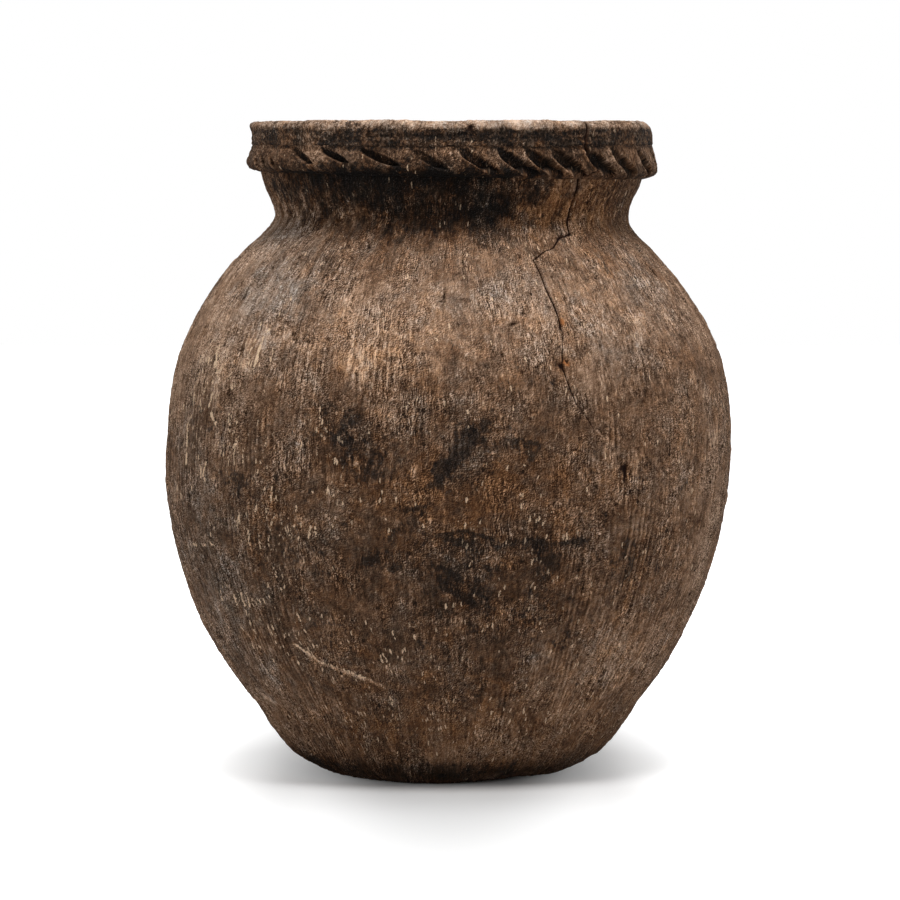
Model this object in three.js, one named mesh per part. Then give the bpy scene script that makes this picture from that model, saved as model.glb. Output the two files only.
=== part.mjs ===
// Terracotta storage jar: clay rings luted one on another over a flat slab, a flared collar
// with a notched rope cordon round it, and a thick rim. Millimetres, +Z up. The origin is on
// the ground, under the middle of the belly.

import * as THREE from 'three';

// Rise of each course, from the ground up
const slabThickness = 14;
const heelRise = 28;
const lowerRise = 76;
const bellyRise = 73;
const upperRise = 79;
const shoulderRise = 52;
const neckRise = 20;
const collarRise = 42.5;
const lipRise = 15.5;

// Outer radius at the ground, and how far each course flares out or draws in from there up
const standingRadius = 66;
const footFlare = 32;
const heelFlare = 20;
const lowerFlare = 43;
const bellyFlare = 13;
const upperDrawIn = 13;
const shoulderDrawIn = 37;
const neckDrawIn = 16;
const collarFlare = 14;
const lipOverhang = 1.5;

// Lean of the wall at each joint, in degrees from upright, outward on the way up
const footLean = 41;
const heelLeanBelow = 30;
const heelLeanAbove = 39;
const lowerLean = 18;
const upperLean = -27;
const shoulderLean = -45;
const neckLeanBelow = -18;
const neckLeanAbove = 14;
const seatLean = 14;

// Wall, joints and rim
const wall = 9;
const lutingGap = 0.3;
const scarfRise = 3;
const lipThickness = 11.5;
const lipOuterRound = 4;
const lipInnerRound = 3;

// Rope cordon: a strip of clay pressed round the collar, its nose low, and notched with a
// slanted tool. The groove takes its share of each notch's pitch and the rest is a lobe
const cordonHeight = 19;
const cordonTopClearance = 1;
const cordonNoseRise = 8;
const cordonProud = 7.5;
const cordonTopLean = -28;
const notchCount = 32;
const notchDepth = 5;
const notchRun = 18;
const grooveShare = 0.65;
const grooveSkew = 0.6;

// The jar leans a little towards +X as it rises: sideways shift for each unit of height
const jarLean = 0.0095;

// Fineness of the facets
const columnCount = 56;
const courseSteps = 4;
const roundSteps = 3;
const cordonSteps = 3;
const notchSteps = 6;

const heelJointHeight = slabThickness + heelRise;
const lowerJointHeight = heelJointHeight + lowerRise;
const bellyHeight = lowerJointHeight + bellyRise;
const upperJointHeight = bellyHeight + upperRise;
const shoulderTurnHeight = upperJointHeight + shoulderRise;
const neckHeight = shoulderTurnHeight + neckRise;
const collarTopHeight = neckHeight + collarRise;
const cordonFootHeight = collarTopHeight - cordonTopClearance - cordonHeight;
const cordonNoseHeight = cordonFootHeight + cordonNoseRise;
const cordonTopJoint = cordonFootHeight + cordonHeight;

const footRadius = standingRadius + footFlare;
const heelRadius = footRadius + heelFlare;
const lowerRadius = heelRadius + lowerFlare;
const bellyRadius = lowerRadius + bellyFlare;
const upperRadius = bellyRadius - upperDrawIn;
const shoulderRadius = upperRadius - shoulderDrawIn;
const neckRadius = shoulderRadius - neckDrawIn;
const collarTopRadius = neckRadius + collarFlare;
const lipRadius = collarTopRadius + lipOverhang;

// Unit vector up the wall for a lean in degrees, as (radius, height)
function wallDirection(lean) {
  const angle = THREE.MathUtils.degToRad(lean);
  return new THREE.Vector2(Math.sin(angle), Math.cos(angle));
}

// A joint between two courses: its outer point, the wall's direction below and above it, and
// its inner point, one wall further in along the mitre and raised by the scarf
function joint(height, radius, leanBelow, leanAbove = leanBelow) {
  const outer = new THREE.Vector2(radius, height);
  const middle = wallDirection((leanBelow + leanAbove) / 2);
  const inward = new THREE.Vector2(-middle.y, middle.x);
  const inner = outer.clone().addScaledVector(inward, wall).addScaledVector(middle, scarfRise);
  return { outer, inner, below: wallDirection(leanBelow), above: wallDirection(leanAbove) };
}

// The two ends of a joint, moved up off the seam by the luting gap
function raisedEnds({ outer, inner }) {
  const across = outer.clone().sub(inner).normalize();
  const off = new THREE.Vector2(-across.y, across.x).multiplyScalar(lutingGap);
  return { outer: outer.clone().add(off), inner: inner.clone().add(off) };
}

// Smooth curve from one point to another that leaves and arrives in the given directions
function sweep(start, startDirection, end, endDirection, steps = courseSteps) {
  const reach = start.distanceTo(end) / 3;
  const leave = start.clone().addScaledVector(startDirection, reach);
  const arrive = end.clone().addScaledVector(endDirection, -reach);
  return new THREE.CubicBezierCurve(start, leave, arrive, end).getPoints(steps);
}

// Sideways shift of the leaning axis at a height
function axisShift(height) {
  return jarLean * (height - bellyHeight);
}

// Turn a closed outline of (radius, height) points into a ring that stands on its own base
// height and leans with the jar
function ringMesh(name, outline, baseHeight, colour, columns = columnCount, shape = null) {
  const points = outline.map((point) => new THREE.Vector2(point.x, point.y - baseHeight));
  const geometry = new THREE.LatheGeometry(points, columns);
  geometry.rotateX(Math.PI / 2);
  if (shape) shape(geometry.attributes.position, baseHeight);
  geometry.applyMatrix4(new THREE.Matrix4().makeShear(0, 0, 0, 0, jarLean, 0));
  geometry.computeVertexNormals();
  const material = new THREE.MeshStandardMaterial({ color: colour, roughness: 0.9, metalness: 0 });
  const mesh = new THREE.Mesh(geometry, material);
  mesh.name = name;
  mesh.position.set(axisShift(baseHeight), 0, baseHeight);
  return mesh;
}

// One ring of wall between two joints, standing off the lower one by the luting gap
function course(name, lower, upper, colour) {
  const start = raisedEnds(lower);
  const outerSide = sweep(start.outer, lower.above, upper.outer, upper.below);
  const innerSide = sweep(start.inner, lower.above, upper.inner, upper.below).reverse();
  const outline = [...outerSide, ...innerSide, start.outer];
  return ringMesh(name, outline, lower.outer.y, colour);
}

// The slab: flat above and below, its edge swept up and out to the first ring
function baseSlab() {
  const ground = new THREE.Vector2(standingRadius, 0);
  const edge = new THREE.Vector2(footRadius, slabThickness);
  const side = sweep(ground, new THREE.Vector2(1, 0), edge, wallDirection(footLean));
  const outline = [new THREE.Vector2(0, 0), ...side, new THREE.Vector2(0, slabThickness)];
  return ringMesh('base_slab', outline, 0, 0x2f241c);
}

// The heel ring: its foot is a flat face on the slab
function heelRing(heel) {
  const floor = slabThickness + lutingGap;
  const footWidth = wall / Math.cos(THREE.MathUtils.degToRad(footLean));
  const outerFoot = new THREE.Vector2(footRadius, floor);
  const innerFoot = new THREE.Vector2(footRadius - footWidth, floor);
  const rise = wallDirection(footLean);
  const outerSide = sweep(outerFoot, rise, heel.outer, heel.below);
  const innerSide = sweep(innerFoot, rise, heel.inner, heel.below).reverse();
  return ringMesh('heel_ring', [...outerSide, ...innerSide, outerFoot], floor, 0x4a3628);
}

// Outer radius of the collar's straight cone, the seat that the cordon is pressed on
function seatRadius(height) {
  const taper = Math.tan(THREE.MathUtils.degToRad(seatLean));
  return collarTopRadius - (collarTopHeight - height) * taper;
}

// The collar: it flares from the neck to the cordon's foot, then runs straight as its seat
function neckCollar(neck, collarTop) {
  const start = raisedEnds(neck);
  const seatFoot = new THREE.Vector2(seatRadius(cordonFootHeight), cordonFootHeight);
  const flare = sweep(start.outer, neck.above, seatFoot, wallDirection(seatLean));
  const innerSide = sweep(start.inner, neck.above, collarTop.inner, collarTop.below).reverse();
  const outline = [...flare, collarTop.outer, ...innerSide, start.outer];
  return ringMesh('neck_collar', outline, neckHeight, 0x3b2c21);
}

// The rim: upright outside, flat on top between two rounded edges
function lipRing(collarTop) {
  const start = raisedEnds(collarTop);
  const top = collarTopHeight + lipRise;
  const innerRadius = lipRadius - lipThickness;
  const quarter = Math.PI / 2;
  const path = new THREE.Path();
  path.moveTo(start.outer.x, start.outer.y);
  path.lineTo(lipRadius, start.outer.y + lipRadius - start.outer.x);
  path.lineTo(lipRadius, top - lipOuterRound);
  path.absarc(lipRadius - lipOuterRound, top - lipOuterRound, lipOuterRound, 0, quarter, false);
  path.absarc(innerRadius + lipInnerRound, top - lipInnerRound, lipInnerRound, quarter, 2 * quarter, false);
  path.lineTo(start.inner.x, start.inner.y);
  path.lineTo(start.outer.x, start.outer.y);
  return ringMesh('lip_ring', path.getPoints(roundSteps), collarTopHeight, 0x4f3f34);
}

// How deep a notch is cut in a column, from 0 to 1: a groove that drops steeply off the ridge
// on its left and rises gently to the lobe on its right
function notchCut(column) {
  const place = (column % notchSteps) / notchSteps / grooveShare;
  return place < 1 ? Math.sin(Math.PI * place ** grooveSkew) : 0;
}

// Press the slanted notches into a plain cordon: each vertex turns with its height, so that
// the columns follow the slant, and moves in by its share of the notch depth
function pressNotches(columns) {
  const up = new THREE.Vector3(0, 0, 1);
  const noseRadius = seatRadius(cordonNoseHeight) + lutingGap + cordonProud;
  const slant = notchRun / cordonHeight / noseRadius;
  return (position, baseHeight) => {
    const rows = position.count / (columns + 1);
    const vertex = new THREE.Vector3();
    for (let index = 0; index < position.count; index += 1) {
      vertex.fromBufferAttribute(position, index);
      const column = Math.floor(index / rows) % columns;
      const height = vertex.z + baseHeight;
      const radius = Math.hypot(vertex.x, vertex.y);
      const seat = seatRadius(height) + lutingGap;
      const share = Math.max(0, radius - seat) / cordonProud;
      const scale = 1 - notchDepth * notchCut(column) * share / radius;
      vertex.set(vertex.x * scale, vertex.y * scale, vertex.z);
      vertex.applyAxisAngle(up, (cordonNoseHeight - height) * slant);
      position.setXYZ(index, vertex.x, vertex.y, vertex.z);
    }
  };
}

// The cordon: a ledge with a low rounded nose, whose back is a cone that fits the seat
function ropeCordon() {
  const columns = notchCount * notchSteps;
  const onSeat = (height) => new THREE.Vector2(seatRadius(height) + lutingGap, height);
  const foot = onSeat(cordonFootHeight);
  const top = onSeat(cordonTopJoint);
  const nose = onSeat(cordonNoseHeight).add(new THREE.Vector2(cordonProud, 0));
  const underside = sweep(foot, wallDirection(90), nose, wallDirection(0), cordonSteps);
  const upperside = sweep(nose, wallDirection(0), top, wallDirection(cordonTopLean), cordonSteps);
  const back = [];
  for (let step = 1; step < cordonSteps; step += 1) {
    back.push(onSeat(cordonTopJoint - cordonHeight * step / cordonSteps));
  }
  const outline = [...underside, ...upperside.slice(1), ...back, foot];
  return ringMesh('rope_cordon', outline, cordonFootHeight, 0x402f23, columns, pressNotches(columns));
}

const heel = joint(heelJointHeight, heelRadius, heelLeanBelow, heelLeanAbove);
const lower = joint(lowerJointHeight, lowerRadius, lowerLean);
const belly = joint(bellyHeight, bellyRadius, 0);
const upper = joint(upperJointHeight, upperRadius, upperLean);
const shoulderTurn = joint(shoulderTurnHeight, shoulderRadius, shoulderLean);
const neck = joint(neckHeight, neckRadius, neckLeanBelow, neckLeanAbove);
const collarTop = joint(collarTopHeight, collarTopRadius, seatLean);

const jar = new THREE.Group();
jar.add(
  baseSlab(),
  heelRing(heel),
  course('lower_ring', heel, lower, 0x45362b),
  course('belly_ring', lower, belly, 0x564336),
  course('upper_ring', belly, upper, 0x7a6250),
  course('shoulder_ring', upper, shoulderTurn, 0x8a6f5b),
  course('neck_ring', shoulderTurn, neck, 0x4f3c2e),
  neckCollar(neck, collarTop),
  ropeCordon(),
  lipRing(collarTop),
);

export default jar;
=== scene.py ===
"""Dress of a hand-built terracotta storage jar: clay courses, notched cordon and worn rim.

Lengths are millimetres until a mesh is written, which is in metres. A place on the jar is a
turn, in degrees to the right of the front as the viewer sees it, and a height.
"""
import logging
import math
from collections.abc import Iterable
from dataclasses import dataclass, field, fields, replace
from enum import Enum

import bpy
import numpy as np
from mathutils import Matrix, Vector


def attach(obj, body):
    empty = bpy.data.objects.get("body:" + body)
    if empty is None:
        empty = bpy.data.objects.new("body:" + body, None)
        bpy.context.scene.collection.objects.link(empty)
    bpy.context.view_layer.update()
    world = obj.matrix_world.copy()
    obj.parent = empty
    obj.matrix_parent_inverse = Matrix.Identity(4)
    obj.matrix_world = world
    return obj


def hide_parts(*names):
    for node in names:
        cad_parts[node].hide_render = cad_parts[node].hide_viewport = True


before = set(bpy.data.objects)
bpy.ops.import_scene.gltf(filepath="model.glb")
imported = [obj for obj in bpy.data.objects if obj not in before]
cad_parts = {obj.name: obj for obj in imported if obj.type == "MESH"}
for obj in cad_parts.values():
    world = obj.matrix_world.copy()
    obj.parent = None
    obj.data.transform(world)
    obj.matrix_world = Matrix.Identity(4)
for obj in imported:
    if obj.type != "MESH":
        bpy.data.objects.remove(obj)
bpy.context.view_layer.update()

LOG = logging.getLogger("jar")
METRES = 0.001
BRUSH_RADIUS = 150.0
Socket = bpy.types.NodeSocket


class Lattice:
    """Seeded noise on a lattice of points, the same on every run."""

    @staticmethod
    def corner(column: np.ndarray, row: np.ndarray, layer: np.ndarray, seed: int) -> np.ndarray:
        """Hash lattice corners to values between -1 and 1.

        Args:
            column: whole-number x of each corner.
            row: whole-number y of each corner.
            layer: whole-number z of each corner.
            seed: picks one of many fields.

        Returns:
            One value for each corner.
        """
        mixed = (column * 374761393 + row * 668265263 + layer * 1440662683 + seed * 974711)
        mixed = mixed.astype(np.int64) & 0xFFFFFFFF
        mixed = ((mixed ^ (mixed >> 13)) * 1274126177) & 0xFFFFFFFF
        mixed = ((mixed ^ (mixed >> 16)) * 2246822519) & 0xFFFFFFFF
        return (mixed ^ (mixed >> 15)) / 2147483647.5 - 1.0

    @classmethod
    def smooth(cls, points: np.ndarray, seed: int) -> np.ndarray:
        """Value noise: corner values blended by a smooth step along each axis.

        Args:
            points: places, in cells of the lattice, last axis x, y, z.
            seed: picks the field.

        Returns:
            Values between about -1 and 1.
        """
        cell = np.floor(points).astype(np.int64)
        part = points - cell
        part = part * part * part * (part * (part * 6.0 - 15.0) + 10.0)
        total = np.zeros(points.shape[:-1])
        for corner in range(8):
            step = np.array([corner & 1, corner >> 1 & 1, corner >> 2 & 1])
            share = np.where(step == 1, part, 1.0 - part).prod(axis=-1)
            place = cell + step
            total += share * cls.corner(place[..., 0], place[..., 1], place[..., 2], seed)
        return total

    @classmethod
    def fractal(cls, points: np.ndarray, size: object, octaves: int, seed: int) -> np.ndarray:
        """Sum of noises, each twice as fine and 0.55 as strong as the last.

        Args:
            points: places in millimetres, last axis x, y, z.
            size: cell of the coarsest lattice, one length or one for each axis.
            octaves: how many noises.
            seed: picks the field.

        Returns:
            Values between about -1 and 1.
        """
        points = points / np.array(size)
        total = np.zeros(points.shape[:-1])
        weight, whole = 1.0, 0.0
        for octave in range(octaves):
            shift = 17.3 * octave
            total += weight * cls.smooth(points * 2.0**octave + shift, seed + 31 * octave)
            whole += weight
            weight *= 0.55
        return total / whole


def smooth_step(values: np.ndarray, start: float, end: float) -> np.ndarray:
    """Ease from 0 at start to 1 at end: 3t squared less 2t cubed."""
    share = np.clip((values - start) / (end - start), 0.0, 1.0)
    return share * share * (3.0 - 2.0 * share)


def wall_direction(lean: float) -> np.ndarray:
    """Unit vector up the wall, as radius and height, for a lean in degrees from upright."""
    return np.array([math.sin(math.radians(lean)), math.cos(math.radians(lean))])


def sweep(start: np.ndarray, leave: float, end: np.ndarray, arrive: float, steps: int) -> np.ndarray:
    """Cubic curve between two points that leaves and arrives with the given leans.

    Each handle is a third of the distance between the points, and the curve is the Bezier
    sum (1-t)^3 a + 3(1-t)^2 t b + 3(1-t) t^2 c + t^3 d.

    Args:
        start: radius and height of the first point.
        leave: lean at the start, in degrees.
        end: radius and height of the last point.
        arrive: lean at the end, in degrees.
        steps: how many equal steps of t.

    Returns:
        steps + 1 points of radius and height.
    """
    start, end = np.asarray(start, float), np.asarray(end, float)
    reach = np.linalg.norm(end - start) / 3.0
    near = start + wall_direction(leave) * reach
    far = end - wall_direction(arrive) * reach
    t = np.linspace(0.0, 1.0, steps + 1)[:, None]
    return (1 - t)**3 * start + 3 * (1 - t)**2 * t * near + 3 * (1 - t) * t**2 * far + t**3 * end


@dataclass(frozen=True)
class Joint:
    """A luted joint between two courses: its height, outer radius and the leans there."""

    height: float
    radius: float
    below: float
    above: float

    def outer(self) -> np.ndarray:
        """Outer end of the seam, as radius and height."""
        return np.array([self.radius, self.height])

    def inner(self, wall: float, scarf: float) -> np.ndarray:
        """Inner end of the seam: one wall in along the mitre, raised by the scarf.

        Args:
            wall: thickness of the wall.
            scarf: how far the seam rises along the wall on its way in.

        Returns:
            Radius and height.
        """
        middle = wall_direction((self.below + self.above) / 2.0)
        inward = np.array([-middle[1], middle[0]])
        return self.outer() + inward * wall + middle * scarf


COIL_OFFSETS = (
    (0, 0.5), (20, 0.5), (40, 0.3), (60, -0.1), (80, -0.7), (95, -0.95), (112, -0.65),
    (128, -0.65), (160, -0.3), (178, 0.0), (195, 0.6), (211, 0.95), (228, 0.85), (260, 0.6),
    (278, 0.0), (294, -0.65), (311, -0.9), (328, -0.6), (345, 0.7), (361, 0.9), (385, 0.6),
    (400, 0.4),
)


@dataclass(frozen=True)
class JarForm:
    """The jar's driving sizes, the same as its solids have."""

    wall: float = 9.0
    scarf: float = 3.0
    lean: float = 0.0095
    slab: float = 14.0
    standing_radius: float = 66.0
    foot_radius: float = 98.0
    foot_lean: float = 41.0
    heel: Joint = Joint(42.0, 118.0, 30.0, 39.0)
    lower: Joint = Joint(118.0, 161.0, 18.0, 18.0)
    belly: Joint = Joint(191.0, 174.0, 0.0, 0.0)
    upper: Joint = Joint(270.0, 161.0, -27.0, -27.0)
    shoulder: Joint = Joint(322.0, 124.0, -45.0, -45.0)
    neck: Joint = Joint(342.0, 108.0, -18.0, 14.0)
    collar: Joint = Joint(384.5, 122.0, 14.0, 14.0)
    lip_foot: float = 387.0
    lip_radius: float = 123.5
    lip_thickness: float = 11.5
    height: float = 400.0
    cordon_height: float = 19.0
    cordon_inset: float = 1.0
    cordon_nose_rise: float = 8.0
    cordon_proud: float = 7.5

    def seat_radius(self, height: float) -> float:
        """Radius of the collar's straight cone at a height, where the cordon sits."""
        slope = math.tan(math.radians(self.collar.below))
        return self.collar.radius - (self.collar.height - height) * slope

    def cordon_foot(self) -> float:
        """Height of the cordon's lower edge."""
        return self.collar.height - self.cordon_inset - self.cordon_height

    def axis_shift(self, height: np.ndarray) -> np.ndarray:
        """Sideways place of the leaning axis at a height, with the coils' small offsets."""
        heights, offsets = zip(*COIL_OFFSETS)
        return self.lean * (height - self.belly.height) + np.interp(height, heights, offsets)

    def outline(self) -> np.ndarray:
        """Outer line of the body from the ground to the rim, as radius and height."""
        stations = [self.heel, self.lower, self.belly, self.upper, self.shoulder, self.neck]
        foot = np.array([self.foot_radius, self.slab])
        parts = [sweep([self.standing_radius, 0.0], 90.0, foot, self.foot_lean, 24)]
        parts.append(sweep(foot, self.foot_lean, self.heel.outer(), self.heel.below, 24))
        for low, high in zip(stations, stations[1:]):
            parts.append(sweep(low.outer(), low.above, high.outer(), high.below, 48))
        parts.append(sweep(self.neck.outer(), self.neck.above, self.collar.outer(), self.collar.below, 24))
        parts.append(np.array([[self.lip_radius, self.lip_foot], [self.lip_radius, self.height]]))
        return np.concatenate(parts)


FORM = JarForm()


def column_turns(crack_spacing: float, front_spacing: float, back_spacing: float) -> np.ndarray:
    """Turns of the grid columns: closest at the crack, then the front, widest at the back.

    The column count grows by one over each spacing, measured round the belly, so the turns
    are read off the running sum of one over the spacing.

    Args:
        crack_spacing: distance between columns beside the crack.
        front_spacing: distance between columns on the rest of the front.
        back_spacing: distance between columns at the back.

    Returns:
        Turns in degrees from -180 up to, but not reaching, 180.
    """
    crack_from, crack_to, front = 20.0, 47.0, 97.0
    fine = np.linspace(-180.0, 180.0, 14401)
    spacing = np.where(np.abs(fine) < front, front_spacing, back_spacing)
    spacing = np.where((fine > crack_from) & (fine < crack_to), crack_spacing, spacing)
    spacing = np.convolve(np.pad(spacing, 80, mode="wrap"), np.full(161, 1 / 161), "valid")
    step = math.radians(fine[1] - fine[0]) * FORM.belly.radius
    running = np.concatenate([[0.0], np.cumsum(step / spacing[:-1])])
    count = int(running[-1])
    return np.interp(np.arange(count) * running[-1] / count, running, fine)


BODY_TURNS = column_turns(0.5, 0.92, 1.5)
RIM_TURNS = column_turns(0.7, 0.8, 1.3)


class BodyLine:
    """The jar's outer line with its length and its normals, eased over the joints."""

    ease: float = 7.0
    step: float = 0.5

    def __init__(self) -> None:
        """Measure the line and average its normals over the easing length on both sides."""
        self.line = FORM.outline()
        steps = np.linalg.norm(np.diff(self.line, axis=0), axis=1)
        self.line = self.line[np.concatenate([[True], steps > 1e-6])]
        steps = steps[steps > 1e-6]
        self.run = np.concatenate([[0.0], np.cumsum(steps)])
        self.even = np.arange(0.0, self.run[-1], self.step)
        radius = np.interp(self.even, self.run, self.line[:, 0])
        height = np.interp(self.even, self.run, self.line[:, 1])
        normal = np.stack([np.gradient(height), -np.gradient(radius)], axis=1)
        reach = int(self.ease / self.step)
        window = np.hanning(2 * reach + 3)[1:-1]
        padded = np.pad(normal, ((reach, reach), (0, 0)), mode="edge")
        sides = [np.convolve(padded[:, axis], window / window.sum(), "valid") for axis in (0, 1)]
        self.normals = np.stack(sides, axis=1)
        self.normals /= np.linalg.norm(self.normals, axis=1, keepdims=True)

    def along(self, height: np.ndarray) -> np.ndarray:
        """Distance up the line at a height."""
        return np.interp(height, self.line[:, 1], self.run)

    def normal(self, along: np.ndarray) -> np.ndarray:
        """Eased normal, as radius and height, at distances up the line."""
        parts = [np.interp(along, self.even, self.normals[:, axis]) for axis in (0, 1)]
        return np.stack(parts, axis=1)


BODY = BodyLine()


class Face(Enum):
    """Which face of the clay a skin covers."""

    BODY = "body"
    TRIM = "trim"
    INSIDE = "inside"


@dataclass
class Skin:
    """A grid over the jar: rows along an outline, columns round the leaning axis."""

    line: np.ndarray
    face: Face = Face.BODY
    turns: np.ndarray = field(default_factory=lambda: BODY_TURNS)
    along: np.ndarray = field(init=False)
    normal: np.ndarray = field(init=False)
    turn: np.ndarray = field(init=False)
    height: np.ndarray = field(init=False)
    radius: np.ndarray = field(init=False)

    def __post_init__(self) -> None:
        """Work out the outward normals and spread the rows over the columns."""
        steps = np.linalg.norm(np.diff(self.line, axis=0), axis=1)
        radius, height = self.line[0]
        start = BODY.along(height) if height > 0 else radius - FORM.standing_radius
        along = start + np.concatenate([[0.0], np.cumsum(steps)])
        if self.face is Face.INSIDE:
            along = BODY.along(self.line[:, 1])
        tangent = np.gradient(self.line, axis=0)
        tangent /= np.linalg.norm(tangent, axis=1, keepdims=True) + 1e-9
        self.normal = np.stack([tangent[:, 1], -tangent[:, 0]], axis=1)
        if self.face is Face.BODY:
            self.normal = BODY.normal(along)
        rows = (len(self.line), len(self.turns))
        self.turn = np.broadcast_to(np.radians(self.turns), rows)
        self.height = np.broadcast_to(self.line[:, 1:2], rows)
        self.radius = np.broadcast_to(self.line[:, 0:1], rows)
        self.along = np.broadcast_to(along[:, None], rows)

    def place(self, push: np.ndarray) -> np.ndarray:
        """Put each grid point at its radius and turn, pushed out along its normal.

        The point is (r sin a + shift, -r cos a, z), with the push added to r and z by the
        outline's normal.

        Args:
            push: distance out along the normal for each point.

        Returns:
            Points in millimetres, shape rows, columns, 3.
        """
        radius = self.radius + push * self.normal[:, 0:1]
        height = np.maximum(self.height + push * self.normal[:, 1:2], 0.0)
        across = radius * np.sin(self.turn) + FORM.axis_shift(height)
        return np.stack([across, -radius * np.cos(self.turn), height], axis=-1)

    def brush(self) -> np.ndarray:
        """Coordinates for brushed patterns: round the jar at a fixed radius, and up the wall.

        Returns:
            (R sin a, -R cos a, distance up the wall), in millimetres, so that a pattern
            stretched along the last one runs up the wall and fans with the shoulder.
        """
        return np.stack([
            BRUSH_RADIUS * np.sin(self.turn),
            -BRUSH_RADIUS * np.cos(self.turn),
            self.along,
        ], axis=-1)

    def across(self, turn: float) -> np.ndarray:
        """Distance round the jar, in millimetres, from a turn in degrees to each point."""
        away = (np.degrees(self.turn) - turn + 180.0) % 360.0 - 180.0
        return np.radians(away) * self.radius

    def up_from(self, height: float) -> np.ndarray:
        """Distance up the wall from a height to each point."""
        return self.along - BODY.along(height)


MARK_WARP = 0.9


@dataclass(frozen=True)
class Warp:
    """Two noise fields that pull marks out of shape, sideways and up the wall."""

    side: np.ndarray
    rise: np.ndarray


@dataclass(frozen=True)
class Mark:
    """An oval mark on the skin: its place, half sizes across and up the wall, tilt and strength."""

    turn: float
    height: float
    wide: float
    tall: float
    tilt: float
    strength: float

    def cover(self, skin: Skin, warp: Warp) -> np.ndarray:
        """How strongly the mark covers each point: e to minus q, q the oval distance squared.

        The warp first moves each point by a share of the mark's own size.

        Args:
            skin: the grid.
            warp: noise that makes the mark's edge ragged.

        Returns:
            Cover between 0 and the mark's strength.
        """
        across, up = skin.across(self.turn), skin.up_from(self.height)
        cosine, sine = math.cos(math.radians(self.tilt)), math.sin(math.radians(self.tilt))
        side = (across * cosine - up * sine) / self.wide + MARK_WARP * warp.side
        rise = (across * sine + up * cosine) / self.tall + MARK_WARP * warp.rise
        return self.strength * np.exp(-side**2 - rise**2)


def marks(*rows: tuple[float, ...]) -> tuple[Mark, ...]:
    """Marks from rows of turn, height, half width, half height, tilt and strength."""
    return tuple(Mark(*row) for row in rows)


def covered(things: tuple, skin: Skin, warp: Warp) -> np.ndarray:
    """How strongly a list of marks or strokes covers each point, all added up."""
    return sum(thing.cover(skin, warp) for thing in things)


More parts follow.
